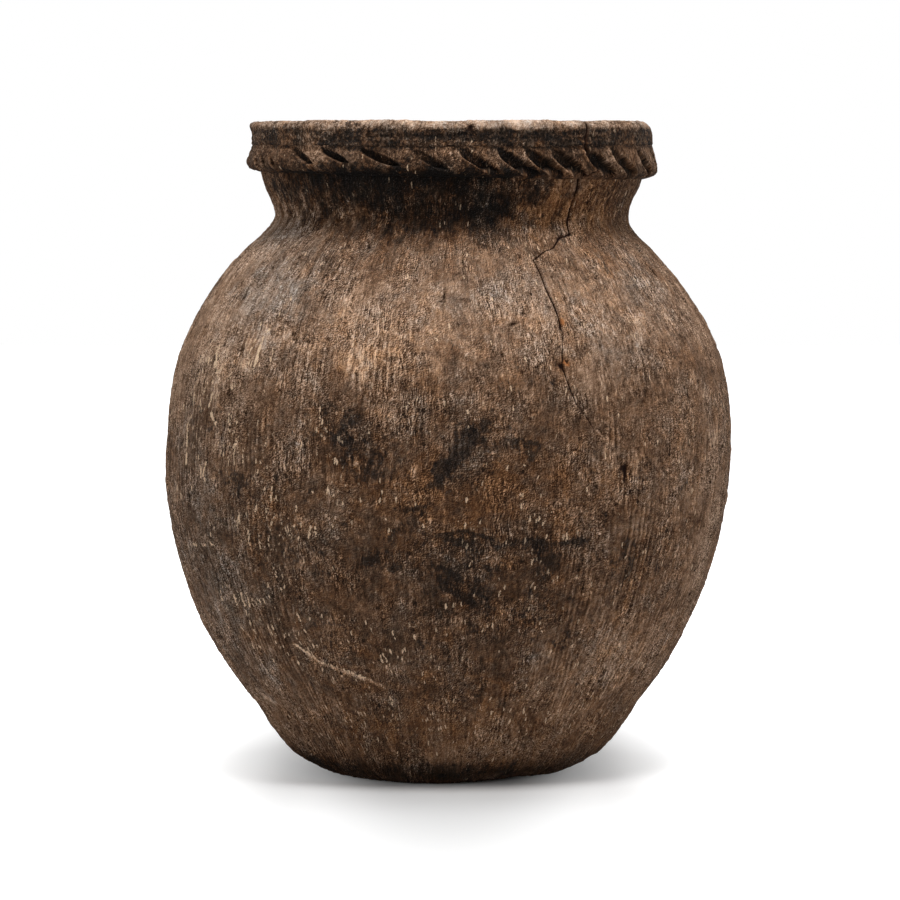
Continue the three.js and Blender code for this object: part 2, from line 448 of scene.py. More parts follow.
# Painted shade and painted light, with some soot-dark areas: positive strengths darken and negative ones
# lighten. The strongest paint shade under the cordon and the rim and at the foot; those round the middle
# of the belly are partly soot.
SHADE_MARKS = marks(
    (-14, 355, 75, 18, 0, 1.7), (-56, 362, 46, 12, 0, 0.6), (-8, 337, 60, 12, 0, 0.95),
    (0, 362, 200, 12, 0, 0.4), (40, 360, 16, 16, 0, -0.45), (18, 348, 26, 14, 0, 0.5),
    (-12, 370, 70, 7, 0, 0.5), (76, 352, 24, 12, 0, 0.4), (-68, 332, 42, 18, 0, -1.0),
    (-70, 256, 42, 62, 0, -0.45), (74, 275, 24, 34, 0, -0.35), (72, 130, 26, 44, 0, -0.35),
    (60, 345, 30, 12, 0, 0.35), (0, 140, 80, 56, 0, 0.65), (8, 205, 34, 26, 0, 0.5),
    (-10, 200, 38, 22, 0, 0.35), (7, 128, 32, 30, 0, 0.3), (-42, 165, 45, 40, 0, 0.45),
    (-20, 215, 30, 22, 20, 0.6), (24, 112, 22, 16, 0, 0.45), (44, 140, 26, 22, 0, 0.3),
    (8, 62, 34, 20, 0, 0.55), (-30, 70, 44, 30, 0, 0.4), (-18, 32, 30, 12, 0, 0.4),
    (0, 9, 60, 9, 0, 1.2), (-74, 392, 34, 9, 0, -0.35), (42, 384, 12, 5, 0, 0.5),
    (42, 375, 10, 8, 0, 0.4), (-70, 28, 24, 14, 0, -0.3), (-18, 48, 12, 12, 0, 0.4),
    (-18, 112, 7, 10, 0, -0.5), (-42, 236, 10, 8, 0, -0.3), (30, 246, 8, 12, 0, -0.35),
    (76, 392, 30, 9, 0, -0.5), (-34, 374, 26, 6, 0, 0.6), (0, 374, 26, 8, 0, 0.5),
    (-60, 7, 34, 9, 0, 0.6), (66, 7, 26, 9, 0, 0.25), (47, 342, 22, 15, 0, -0.45),
    (6, 345, 14, 14, 0, 0.3), (-6, 350, 8, 12, 0, -0.3), (-68, 312, 38, 20, 0, -0.45),
    (48, 314, 28, 12, 0, 0.3), (-18, 294, 10, 10, 0, -0.45), (-54, 290, 12, 14, 0, -0.3),
    (72, 272, 18, 20, 0, -0.3), (-46, 236, 14, 10, 0, -0.35), (34, 240, 18, 14, 0, -0.25),
    (26, 192, 20, 14, 0, 0.3), (66, 192, 10, 12, 0, -0.3), (-32, 160, 12, 14, 0, 0.35),
    (-6, 158, 8, 10, 0, 0.4), (-32, 112, 16, 20, 0, 0.3), (4, 136, 12, 14, 0, 0.3),
    (70, 140, 16, 22, 0, -0.3), (-66, 34, 24, 14, 0, -0.3), (-55, 10, 30, 8, 0, 0.5),
    (-80, 246, 14, 26, 0, -0.6), (67, 170, 14, 40, 0, -0.25), (-24, 375, 54, 8, 0, 0.6),
    (42, 370, 14, 8, 0, -0.6), (-20, 368, 60, 6, 0, 1.2), (-28, 344, 14, 8, 0, -0.4),
    (-12, 352, 10, 10, 0, -0.35), (74, 272, 20, 26, 0, -0.3), (34, 50, 16, 14, 0, -0.35),
    (2, 18, 18, 8, 0, -0.3), (-42, 178, 10, 8, 0, 0.3), (-42, 387, 9, 7, 0, -0.8),
    (-18, 384, 8, 5, 0, -0.5), (18, 382, 9, 6, 0, -0.6), (54, 380, 10, 14, 0, -0.45),
    (30, 375, 8, 6, 0, -0.3), (-6, 366, 9, 6, 0, -0.4), (-54, 265, 10, 10, 0, -0.3),
    (-6, 238, 9, 15, 0, 0.3), (30, 250, 8, 8, 0, -0.35), (30, 280, 10, 10, 0, 0.25),
    (-42, 125, 12, 30, 0, 0.25), (18, 100, 8, 24, 0, 0.25), (66, 135, 10, 18, 0, -0.25),
    (66, 198, 8, 12, 0, -0.3), (-22, 302, 16, 12, 0, -0.25), (-54, 58, 28, 22, 0, -0.35),
    (-18, 46, 20, 12, 0, 0.2),
)

SOOT_MARKS = marks(
    (1.5, 205, 5, 24, 40, 1.4), (11, 212, 12, 4, 0, 0.5), (15.5, 200, 3.5, 11, 10, 0.55),
    (28, 207, 12, 3.5, 25, 0.6), (-20.5, 212, 7, 16, -15, 0.5), (-19, 226, 9, 6, 0, 0.6),
    (-13, 192, 6, 10, -20, 0.5), (18.5, 150, 9, 6, 10, 0.8), (26.5, 151, 12, 4, -18, 0.7),
    (20, 136, 8, 12, 30, 0.6), (0, 156, 14, 4, 20, 0.7), (-1, 132, 12, 8, -20, 0.75),
    (-15, 140, 14, 8, 0, 0.5), (3, 121, 13, 6, 0, 0.5), (39, 148, 5, 8, 0, 0.4),
    (41, 136, 4, 12, 10, 0.6), (46, 146, 12, 3.5, -15, 0.45), (50, 134, 4, 9, -35, 0.55),
    (42, 118, 10, 4, 0, 0.5), (29, 108, 6, 14, 15, 0.5), (27, 90, 12, 3.5, 30, 0.5),
    (33, 168, 4, 8, 0, 0.5), (55, 182, 10, 5, -30, 0.45), (-46, 186, 16, 12, 0, 0.45),
    (-40, 150, 14, 14, 0, 0.3), (-29, 141, 20, 8, 0, 0.4), (-60, 222, 18, 14, 0, 0.4),
    (-16, 318, 12, 8, 0, 0.45), (-38, 322, 16, 9, 0, 0.4), (3, 268, 8, 5, 0, 0.35),
    (30, 245, 14, 8, 0, 0.35), (14, 255, 3, 14, -40, 0.35), (72, 232, 10, 12, 0, 0.5),
    (12, 95, 22, 10, 0, 0.35), (2, 84, 20, 8, 0, 0.3),
)

# Pale worn clay, with painted light: the wide marks at heights 285 to 290 make a pale band round the
# shoulder, partly wear and partly painted light where the shoulder faces up.
BARE_AND_HIGHLIGHT_MARKS = marks(
    (0, 285, 130, 34, 0, 0.55), (45, 290, 60, 40, 0, 0.4), (-60, 290, 50, 30, 0, 0.35),
    (-18, 255, 12, 9, 0, 1.3), (-15, 268, 26, 10, 0, 0.35), (-44, 271, 5, 13, -20, 0.8),
    (-47, 256, 4, 10, -25, 0.6), (-37, 270, 6, 4, 0, 0.6), (-56, 262, 5, 5, 0, 0.8),
    (-55, 246, 7, 16, 10, 1.0), (-54, 216, 4.0, 12, 12, 0.4), (-67, 207, 4.0, 20, 0, 0.3),
    (-47, 208, 1.6, 3, 0, 0.8), (-73, 174, 5, 5, 0, 0.7), (-58, 192, 4.0, 10, 0, 0.3),
    (-29, 150, 4, 15, 0, 0.3), (-31, 163, 5, 6, 0, 0.5), (-7, 196, 3, 4, 0, 0.7),
    (-11, 75, 8, 4, -15, 0.75), (0, 30, 60, 16, 0, 0.25), (55, 80, 45, 35, 0, 0.3),
    (60, 190, 40, 40, 0, 0.25), (28, 345, 24, 16, 0, 0.35),
)

OCHRE_MARKS = marks(
    (25.8, 282, 1.6, 3.0, 0, 1.0), (24.2, 259, 2.6, 3.6, -20, 1.0), (37.6, 190, 2.4, 6.0, 8, 0.5),
    (13, 110, 16, 10, 0, 0.4), (-8, 182, 22, 13, 0, 0.42), (10, 178, 26, 11, 0, 0.4),
    (40, 345, 24, 12, 0, 0.25), (-80, 398, 5, 4, 0, 0.5), (-20, 62, 10, 5, 0, 0.5),
    (-50, 90, 18, 10, 0, 0.3), (40, 352, 30, 12, 0, 0.35), (22, 196, 8, 6, 0, 0.3),
)

# Cool ashy tint, warmer where negative; the mark at turn -48, height 300 greys a painted sheen on the left
# shoulder.
ASH_AND_SHEEN_MARKS = marks(
    (-48, 300, 34, 26, 0, 0.9), (-56, 110, 40, 60, 0, 0.8), (-66, 190, 26, 50, 0, 0.4),
    (-62, 332, 26, 12, 0, 0.8), (-16, 262, 22, 16, 0, -0.5), (0, 40, 130, 30, 0, -0.45),
    (44, 352, 40, 22, 0, -0.6), (20, 150, 60, 50, 0, -0.25), (5, 180, 50, 20, 0, -0.4),
    (12, 300, 40, 18, 0, 0.4), (38, 268, 22, 20, 0, 0.4), (58, 300, 26, 24, 0, 0.5),
)

FLECK_MARKS = marks(
    (-62, 240, 30, 40, 0, 0.75), (-48, 262, 20, 22, 0, 0.6), (-46, 205, 24, 26, 0, 0.7),
    (-22, 205, 26, 24, 0, 0.5), (-36, 160, 26, 24, 0, 0.75), (-72, 176, 14, 8, 0, 0.8),
    (-52, 113, 14, 9, 0, 0.9), (-40, 90, 34, 20, 0, 0.6), (-10, 78, 30, 12, 0, 0.6),
    (-12, 40, 60, 18, 0, 0.6), (10, 150, 60, 40, 0, 0.3), (40, 60, 40, 25, 0, 0.35),
)

PIT_MARKS = marks(
    (-1, 298, 0.7, 3.4, 2, 1.9), (4, 295, 2.6, 0.65, 12, 1.7), (14, 281, 2.6, 0.9, -15, 1.8),
    (40, 307, 1.6, 0.8, 10, 1.6), (39, 300, 0.8, 1.2, 0, 1.0), (67, 309, 1.2, 3.0, 35, 2.0),
    (42, 234, 2.0, 0.8, 15, 1.0), (43, 213, 0.7, 3.0, -15, 1.1), (36.7, 195, 2.5, 2.8, 0, 2.2),
    (37.1, 190, 1.4, 4.6, 4, 1.8), (23.0, 256.5, 2.6, 1.6, 35, 2.0), (24.4, 259.5, 1.0, 3.2, -30, 1.4),
    (25.0, 279, 1.2, 2.0, 0, 1.4), (5, 397, 1.8, 2.2, 0, 2.2), (-62, 176, 0.9, 0.9, 0, 1.0),
    (-23.5, 281, 1.4, 0.7, 0, 0.7),
)


@dataclass(frozen=True)
class Stroke:
    """A thin line drawn through places on the skin, such as a scratch."""

    places: tuple[tuple[float, float], ...]
    width: float
    strength: float

    def cover(self, skin: Skin, warp: Warp) -> np.ndarray:
        """Cover of the line: e to minus the squared distance over the width squared.

        The distance is that to the nearest point of each straight stretch, measured round
        the jar and up the wall, and the warp moves the line by up to its own width.

        Args:
            skin: the grid.
            warp: noise that shakes the line and breaks it up.

        Returns:
            Cover between 0 and the strength.
        """
        nearest = np.full(skin.turn.shape, 1e6)
        for first, last in zip(self.places, self.places[1:]):
            across = skin.across(first[0]) + self.width * warp.side
            up = skin.up_from(first[1]) + self.width * warp.rise
            run = skin.across(first[0]) - skin.across(last[0])
            rise = skin.up_from(first[1]) - skin.up_from(last[1])
            share = np.clip((across * run + up * rise) / (run**2 + rise**2 + 1e-9), 0.0, 1.0)
            nearest = np.minimum(nearest, np.hypot(across - share * run, up - share * rise))
        broken = np.clip(0.75 + 1.2 * warp.side, 0.0, 1.0)
        return self.strength * np.exp(-(nearest / self.width)**2) * broken


PALE_STROKES = (
    Stroke(((-37, 88), (-34, 82), (-31, 77), (-28, 74), (-25, 72), (-20, 68), (-16, 64)), 0.9, 2.0),
    Stroke(((-68, 55), (-62, 50), (-57, 47)), 1.0, 1.2),
    Stroke(((-60, 111), (-53, 112)), 1.1, 0.6),
    Stroke(((-21, 273), (-21, 262), (-21, 248)), 0.9, 0.9),
    Stroke(((-11, 249), (-11, 235), (-11, 225)), 0.9, 0.8),
    Stroke(((-13, 233), (-13, 223)), 0.8, 0.8),
)

FLECK_STROKES = (
    Stroke(((-58, 265), (-58, 260), (-57, 253)), 0.9, 2.6),
    Stroke(((-57, 245), (-56, 239), (-57, 229)), 0.8, 2.6),
    Stroke(((-56, 225), (-54, 218), (-53, 208)), 1.1, 3.0),
    Stroke(((-43, 276), (-44, 270), (-44, 261), (-44, 253)), 1.2, 2.8),
    Stroke(((-40, 265), (-40, 257)), 0.8, 2.6),
    Stroke(((-46, 270), (-47, 260)), 0.9, 2.6),
    Stroke(((-64, 223), (-66, 216), (-66, 207), (-66, 193)), 1.0, 2.8),
    Stroke(((-64, 236), (-64, 229)), 0.9, 2.6),
    Stroke(((-51, 207), (-51, 201)), 0.8, 2.8),
    Stroke(((-47, 209), (-48, 206)), 0.9, 2.8),
    Stroke(((-57, 196), (-58, 189), (-57, 183)), 0.9, 2.8),
    Stroke(((-59, 193), (-59, 187)), 0.8, 2.6),
    Stroke(((-24, 186), (-24, 182)), 0.7, 2.8),
    Stroke(((-23, 183), (-23, 180)), 0.7, 2.8),
    Stroke(((-28, 161), (-29, 151), (-30, 142)), 0.9, 2.8),
    Stroke(((-27, 161), (-27, 155)), 0.7, 2.6),
    Stroke(((-46, 166), (-47, 159)), 0.8, 2.8),
    Stroke(((-41, 172), (-42, 165)), 0.7, 2.8),
    Stroke(((-44, 157), (-44, 149)), 0.7, 2.6),
    Stroke(((-41, 158), (-41, 147)), 0.8, 2.8),
    Stroke(((-55, 161), (-55, 154)), 0.8, 2.6),
    Stroke(((-48, 146), (-48, 139)), 0.9, 2.6),
    Stroke(((-66, 144), (-59, 145), (-55, 145)), 0.8, 2.6),
    Stroke(((-53, 116), (-53, 109)), 0.7, 2.8),
    Stroke(((-50, 117), (-50, 109)), 0.7, 2.8),
    Stroke(((-48, 118), (-48, 110)), 0.7, 2.8),
    Stroke(((-38, 134), (-37, 122)), 0.8, 2.6),
    Stroke(((-34, 108), (-33, 96)), 0.7, 2.6),
    Stroke(((-37, 88), (-31, 78), (-25, 73), (-19, 68)), 0.7, 2.6),
)

SOOT_STROKES = (
    Stroke(((-2.5, 140), (0.5, 136), (3, 131)), 1.3, 0.9),
    Stroke(((6, 116), (13, 112), (19, 106), (23, 107)), 0.9, 0.9),
    Stroke(((22, 141), (26, 133), (25, 122), (28, 117)), 1.6, 0.8),
    Stroke(((10, 150), (16, 154), (22, 151), (29, 152)), 1.5, 0.9),
    Stroke(((14, 144), (20, 142), (26, 146)), 1.2, 0.8),
    Stroke(((-3, 158), (3, 160), (8, 156)), 1.3, 0.7),
    Stroke(((8, 213), (14, 214), (18, 210), (16, 202)), 1.2, 0.8),
    Stroke(((-24, 218), (-20, 208), (-21, 200)), 1.8, 0.7),
    Stroke(((-17, 214), (-15, 205), (-16, 196)), 1.5, 0.7),
    Stroke(((-14, 176), (-8, 172), (-3, 175)), 1.4, 0.6),
    Stroke(((-28, 196), (-27, 186), (-29, 176)), 1.8, 0.6),
    Stroke(((36, 138), (42, 143), (48, 141)), 1.2, 0.5),
    Stroke(((30, 176), (35, 172), (37, 165)), 1.2, 0.6),
    Stroke(((-44, 168), (-42, 158), (-43, 146)), 1.4, 0.4),
)

GROOVE_STROKES = (
    Stroke(((-24, 391.5), (-15, 390.5), (-6, 391.0), (4, 392.5)), 1.3, 1.2),
    Stroke(((14, 389.5), (26, 390.8), (38, 390.0), (47, 390.8)), 0.9, 0.8),
    Stroke(((22, 392.6), (33, 393.2), (39, 392.4)), 0.7, 0.5),
    Stroke(((-40, 388.5), (-30, 389.0), (-18, 387.5)), 1.0, 0.6),
    Stroke(((-21, 246), (-21.3, 238), (-21.2, 230)), 0.8, 0.6),
    Stroke(((-12, 242), (-11.5, 234), (-12, 226)), 0.8, 0.6),
    Stroke(((-23, 243), (-23.4, 236), (-23.2, 231)), 0.7, 0.5),
    Stroke(((-17.5, 262), (-18, 254), (-17.8, 247)), 0.7, 0.6),
    Stroke(((-26, 291), (-27, 284), (-27.4, 279)), 0.6, 0.5),
)

LUMP_MARKS = marks(
    (-88, 398, 6, 3, 0, 1.3), (-96, 398, 6, 3, 0, 1.0), (-70, 371, 7, 4, 0, 0.8),
    (-74, 400, 5, 4, 0, -0.9), (-56, 400, 14, 4, 0, 0.5), (30, 400, 25, 4, 0, 0.7),
    (88, 400, 34, 5, 0, -2.4), (-35, 320, 20, 8, 0, 0.5),
)


@dataclass(frozen=True)
class Crack:
    """The firing crack that runs from the rim down the right of the front."""

    heights: tuple[float, ...] = (
        401, 392.5, 385.4, 372.1, 368.6, 358.7, 343.8, 332.4, 330.8, 324.9, 322.3, 317.8,
        311.9, 301.2, 293.3, 282.9, 275.2, 265, 256.8, 248, 243.2, 233.9, 220.9, 205,
    )
    turns: tuple[float, ...] = (
        41.4, 40.7, 40.3, 43.8, 40.2, 40.4, 40.2, 39.5, 35.0, 31.0, 26.9, 23.3,
        23.9, 24.2, 24.9, 25.1, 25.1, 24.0, 23.5, 24.0, 24.6, 25.8, 29.0, 31.0,
    )
    widths: tuple[float, ...] = (
        1.5, 1.4, 1.6, 1.5, 1.6, 1.9, 1.8, 1.7, 1.1, 0.7, 0.5, 0.9,
        0.9, 0.9, 0.9, 1.1, 0.4, 0.3, 1.1, 0.7, 0.6, 0.5, 0.4, 0.0,
    )
    depth: float = 1.6
    wander: float = 0.55
    uneven: float = 0.35
    slope_span: float = 1.2

    def offset(self, skin: Skin) -> np.ndarray:
        """Signed distance to the crack's line, square to it, in millimetres.

        The line is a turn for each height, with a fine wander, and the distance round the
        jar is shortened by the cosine of the line's slope.

        Args:
            skin: the grid.

        Returns:
            Distance, positive to the right.
        """
        height = skin.height
        line = np.interp(-height, -np.array(self.heights), self.turns)
        wander = Lattice.fractal(np.stack([height, height * 0, height * 0], -1), 5.0, 3, 71)
        high = np.interp(-(height + self.slope_span), -np.array(self.heights), self.turns)
        low = np.interp(-(height - self.slope_span), -np.array(self.heights), self.turns)
        slope = np.radians(high - low) * skin.radius / (2.0 * self.slope_span)
        away = np.radians(np.degrees(skin.turn) - line) * skin.radius + self.wander * wander
        return away / np.sqrt(1.0 + slope**2)

    def width(self, skin: Skin) -> np.ndarray:
        """Width of the crack at each point's height, uneven along its length."""
        plain = np.interp(-skin.height, -np.array(self.heights), self.widths)
        up = skin.height / 3.0
        uneven = Lattice.smooth(np.stack([up, up * 0 + 5.0, up * 0], -1), 72)
        return np.clip(plain * (1.0 + self.uneven * uneven), 0.0, None)


@dataclass(frozen=True)
class Coat:
    """Displacement of a skin and the values that its clay reads at each point."""

    push: np.ndarray
    soot: np.ndarray
    # painted shade, painted light where negative, and some soot-dark areas
    shade: np.ndarray
    # pale worn clay, with painted highlights on the cordon's ridges and painted light on the shoulder
    bare_and_highlight: np.ndarray
    ochre: np.ndarray
    # cool ashy tint, with a painted grey sheen on the left shoulder
    ash_and_sheen: np.ndarray
    fleck: np.ndarray
    # fine relief, which is also painted into the tone as light and shade
    relief: np.ndarray
    crack: np.ndarray
    gape: np.ndarray


COAT_MASKS = tuple(item.name for item in fields(Coat) if item.name != "push")


@dataclass(frozen=True)
class Weathering:
    """How the outer skin was worked and has aged."""

    swell: float = 0.9
    scrape: float = 0.55
    lumps: float = 0.42
    grain: float = 0.26
    fillet: float = 1.1
    fillet_reach: float = 10.0
    ridges: int = 288
    ridge_height: float = 0.2
    trim_scrape: float = 0.6
    trim_swell: float = 0.5
    crack: Crack = Crack()

    def neck_fillet(self, skin: Skin) -> np.ndarray:
        """Clay smoothed into the corner at the neck, more on the right than on the left.

        The height is f (1 - d/r) squared within the reach r of the corner, d the distance.

        Args:
            skin: the grid.

        Returns:
            Height over the plain skin.
        """
        away = np.abs(skin.up_from(FORM.neck.height)) / self.fillet_reach
        return self.fillet * (1.0 + 0.5 * np.sin(skin.turn)) * np.clip(1.0 - away, 0.0, 1.0)**2

    def combing(self, skin: Skin) -> np.ndarray:
        """Ridges that a toothed scraper left up the wall, evenly spaced round the jar.

        The ridge is the sine of the turn times the number of ridges, bent by a noise drawn
        out up the wall, and a second noise breaks it into dashes. A third leaves it in
        patches, and it fades up the shoulder.

        Args:
            skin: the grid.

        Returns:
            Values between about -1 and 1.
        """
        brush = skin.brush()
        bend = 5.0 * Lattice.fractal(brush, (16.0, 16.0, 75.0), 3, 61)
        unbroken = smooth_step(Lattice.fractal(brush, (7.0, 7.0, 20.0), 2, 62), -0.4, 0.3)
        patches = 0.15 + smooth_step(Lattice.fractal(brush, (34.0, 34.0, 60.0), 2, 63), -0.15, 0.3)
        fade = 1.0 - 0.65 * smooth_step(skin.height, 275.0, 315.0)
        return np.sin(skin.turn * self.ridges + bend) * unbroken * patches * fade

    def worked(self, skin: Skin, scrape: float, swell: float) -> tuple[np.ndarray, np.ndarray]:
        """Work out how the potter left the outer skin, without its marks.

        It is a slow swell of the hand-built wall, scraped lines stretched up the wall and
        stronger in some patches, lumps and fine grain. On the body combed ridges are added,
        and the scraped lines are weaker to the eye on the shoulder.

        Args:
            skin: the grid.
            scrape: share of the full scraping depth.
            swell: share of the full swell.

        Returns:
            How far each point is pushed out, and the fine relief that tones the clay.
        """
        brush = skin.brush()
        slow = Lattice.fractal(brush, 70.0, 3, 13)
        shake = np.stack([Lattice.fractal(brush, 16.0, 2, seed) for seed in (41, 42, 43)], -1)
        shaken = brush + 2.5 * shake
        lines = (1.7, 1.7, 11.0) if skin.face is Face.BODY else (20.0, 20.0, 2.0)
        streaks = Lattice.fractal(shaken, lines, 2, 14)
        broad = Lattice.fractal(shaken, (6.0, 6.0, 32.0), 3, 15)
        combed = 0.3 + smooth_step(Lattice.fractal(brush, 34.0, 2, 16), -0.3, 0.3)
        lumps = Lattice.fractal(brush, 7.0, 3, 24)
        grain = Lattice.smooth(brush / 1.7, 17)
        push = self.swell * swell * slow + self.neck_fillet(skin)
        push = push + scrape * (self.scrape * streaks * combed + 0.17 * broad)
        push = push + self.lumps * lumps + self.grain * grain
        relief = 0.7 * streaks * combed + 0.35 * grain + 0.35 * lumps
        if skin.face is Face.BODY:
            shoulder = 1.0 - smooth_step(skin.height, 325.0, 345.0)
            shoulder = smooth_step(skin.height, 255.0, 300.0) * shoulder
            relief = relief * (1.0 - 0.45 * shoulder)
            combing = self.combing(skin) * (1.0 - 0.3 * shoulder)
            push = push + self.ridge_height * combing
            relief = relief + 0.6 * combing
        return push, relief

    def coat(self, skin: Skin, scrape: float = 1.0, swell: float = 1.0) -> Coat:
        """Work out the outer skin's relief and masks: worked clay, marks and the crack.

        Behind, where the photograph shows nothing, noise takes the place of the marks.

        Args:
            skin: the grid.
            scrape: share of the full scraping depth.
            swell: share of the full swell.

        Returns:
            The coat.
        """
        brush = skin.brush()
        push, relief = self.worked(skin, scrape, swell)
        warp = Warp(Lattice.fractal(brush, 8.0, 3, 11), Lattice.fractal(brush, 8.0, 3, 12))
        soot = 1.2 * covered(SOOT_MARKS, skin, warp) + covered(SOOT_STROKES, skin, warp)
        shade = covered(SHADE_MARKS, skin, warp)
        bare_and_highlight = covered(BARE_AND_HIGHLIGHT_MARKS, skin, warp) + covered(PALE_STROKES, skin, warp)
        ochre = covered(OCHRE_MARKS, skin, warp)
        ash_and_sheen = covered(ASH_AND_SHEEN_MARKS, skin, warp)
        fleck = 0.12 + covered(FLECK_MARKS, skin, warp) + covered(FLECK_STROKES, skin, warp)
        tight = Warp(0.3 * warp.side, 0.3 * warp.rise)
        pits = covered(PIT_MARKS, skin, tight)
        grooves = covered(GROOVE_STROKES, skin, tight)
        raised = covered(LUMP_MARKS, skin, tight)
        behind = smooth_step(np.abs(np.degrees(skin.turn)), 75.0, 110.0)
        patchy = Lattice.fractal(brush, 22.0, 4, 20)
        soot = soot + behind * 0.8 * smooth_step(patchy, 0.1, 0.45)
        shade = shade + behind * smooth_step(Lattice.fractal(brush, 60.0, 3, 18), -0.1, 0.5)
        bare_and_highlight = bare_and_highlight + behind * 0.5 * smooth_step(Lattice.fractal(brush, 50.0, 3, 19), 0.0, 0.5)
        hole = smooth_step(pits, 0.9, 1.4)
        offset = self.crack.offset(skin) * (1.0 - hole)
        gape = np.maximum(self.crack.width(skin), 1.4 * hole)
        groove = np.clip(1.0 - (offset / (0.6 * gape + 0.15))**2, 0.0, 1.0)
        carved = self.crack.depth * groove * smooth_step(gape, 0.1, 0.8) * (1.0 - hole)
        push = push + raised - carved - 0.8 * pits - 0.7 * grooves
        # the cut grooves are darkened as painted shade
        shade = shade + 0.6 * grooves
        fleck = fleck + behind * 0.5 * smooth_step(Lattice.fractal(brush, 40.0, 3, 25), -0.1, 0.4)
        return Coat(push, soot, shade, bare_and_highlight, ochre, ash_and_sheen, fleck, relief - 1.5 * pits, offset, gape)

    def trim_coat(self, skin: Skin) -> Coat:
        """Work out the skin of the rim or the cordon, which was scraped less than the body."""
        return self.coat(skin, self.trim_scrape, self.trim_swell)

    def inner_coat(self, skin: Skin) -> Coat:
        """Work out the inner skin: finger-wiped rings, plain soot and no crack or marks.

        Args:
            skin: the grid.

        Returns:
            The coat.
        """
        brush = skin.brush()
        rings = Lattice.fractal(brush, (60.0, 60.0, 9.0), 3, 21)
        grain = Lattice.fractal(brush, 4.0, 2, 22)
        cloud = Lattice.fractal(brush, 45.0, 3, 23)
        push = 0.7 * rings + 0.1 * grain
        nothing = np.zeros(skin.turn.shape)
        # the inside gets an even painted shade, 0.9 in the shade mask, over its plain soot
        return Coat(push, 0.3 + 0.4 * smooth_step(cloud, -0.2, 0.5), nothing + 0.9, nothing,
                    nothing, nothing, nothing, 0.5 * rings + 0.5 * grain, nothing + 9.0, nothing)


WEATHERING = Weathering()


@dataclass
class Patch:
    """Rows of a piece's closed outline that share one coat."""

    skin: Skin
    coat: Coat


@dataclass(frozen=True)
class Clay:
    """A finished clay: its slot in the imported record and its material."""

    slot: str
    material: bpy.types.Material


@dataclass
class Piece:
    """A closed ring or disc of clay made of patches that follow one another round its outline."""

    node: str
    clay: Clay
    patches: list[Patch]
    closed_on_axis: bool = False

    def build(self) -> bpy.types.Object:
        """Write the piece's mesh with its attributes and give it to the frame.

        Returns:
            The new object.
        """
        points = np.concatenate([patch.skin.place(patch.coat.push) for patch in self.patches])
        rows, columns = points.shape[:2]
        quads, fans = self._faces(rows, columns)
        vertices = points.reshape(-1, 3) * METRES
        if self.closed_on_axis:
            poles = [points[0].mean(axis=0), points[-1].mean(axis=0)]
            vertices = np.concatenate([vertices, np.array(poles) * METRES])
        mesh = bpy.data.meshes.new(f"{self.node}_clay")
        mesh.vertices.add(len(vertices))
        mesh.vertices.foreach_set("co", vertices.ravel())
        corners = np.concatenate([quads.ravel(), fans.ravel()])
        sizes = np.concatenate([np.full(len(quads), 4), np.full(len(fans), 3)])
        mesh.loops.add(len(corners))
        mesh.loops.foreach_set("vertex_index", corners)
        mesh.polygons.add(len(sizes))
        mesh.polygons.foreach_set("loop_start", np.concatenate([[0], np.cumsum(sizes)[:-1]]))
        mesh.update(calc_edges=True)
        mesh.validate()
        mesh.polygons.foreach_set("use_smooth", np.ones(len(sizes), bool))
        mesh.set_sharp_from_angle(angle=math.radians(65.0))
        self._write_attributes(mesh, len(vertices) - rows * columns)
        mesh.materials.append(self.clay.material)
        piece = bpy.data.objects.new(f"{self.node}_clay", mesh)
        bpy.context.scene.collection.objects.link(piece)
        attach(piece, "root")
        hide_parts(self.node)
        LOG.info("%s: %d faces", self.node, len(sizes))
        return piece

    def _faces(self, rows: int, columns: int) -> tuple[np.ndarray, np.ndarray]:
        """Number the corners of the faces, and of the fans at both poles of a disc.

        Rows of points run round the outline and columns round the jar. Each face joins two
        rows and two columns. On a disc a fan joins each end row to a pole, and the two poles
        follow the grid's points. Any other piece closes on itself and has no fans.

        Args:
            rows: how many rows of points.
            columns: how many columns of points.

        Returns:
            The faces with four corners, and the fans' faces with three.
        """
        index = np.arange(rows * columns).reshape(rows, columns)
        low = index[:-1] if self.closed_on_axis else index
        high = index[1:] if self.closed_on_axis else np.roll(index, -1, axis=0)
        quads = np.stack([low, np.roll(low, -1, axis=1), np.roll(high, -1, axis=1), high], axis=-1)
        quads = quads.reshape(-1, 4)
        if not self.closed_on_axis:
            return quads, np.zeros((0, 3), int)
        first, last = rows * columns, rows * columns + 1
        start, end = index[0], index[-1]
        bottom = np.stack([np.full(columns, first), np.roll(start, -1), start], axis=-1)
        top = np.stack([end, np.roll(end, -1), np.full(columns, last)], axis=-1)
        return quads, np.concatenate([bottom, top])

    def _write_attributes(self, mesh: bpy.types.Mesh, extra: int) -> None:
        """Store the coat's values and the brush coordinates on the mesh's points.

        Args:
            mesh: the mesh.
            extra: how many pole points follow the grid.
        """
        for name in COAT_MASKS:
            values = np.concatenate([getattr(patch.coat, name).ravel() for patch in self.patches])
            values = np.concatenate([values, np.full(extra, values[0])])
            layer = mesh.attributes.new(name, "FLOAT", "POINT")
            layer.data.foreach_set("value", values.astype(np.float32))
        brush = np.concatenate([patch.skin.brush().reshape(-1, 3) for patch in self.patches])
        brush = np.concatenate([brush, np.tile(brush[:1], (extra, 1))]) * METRES
        layer = mesh.attributes.new("brush", "FLOAT_VECTOR", "POINT")
        layer.data.foreach_set("vector", brush.astype(np.float32).ravel())


def outer_patch(line: np.ndarray) -> Patch:
    """Patch of the jar's weathered outer skin along a line of radius and height."""
    skin = Skin(line)
    return Patch(skin, WEATHERING.coat(skin))


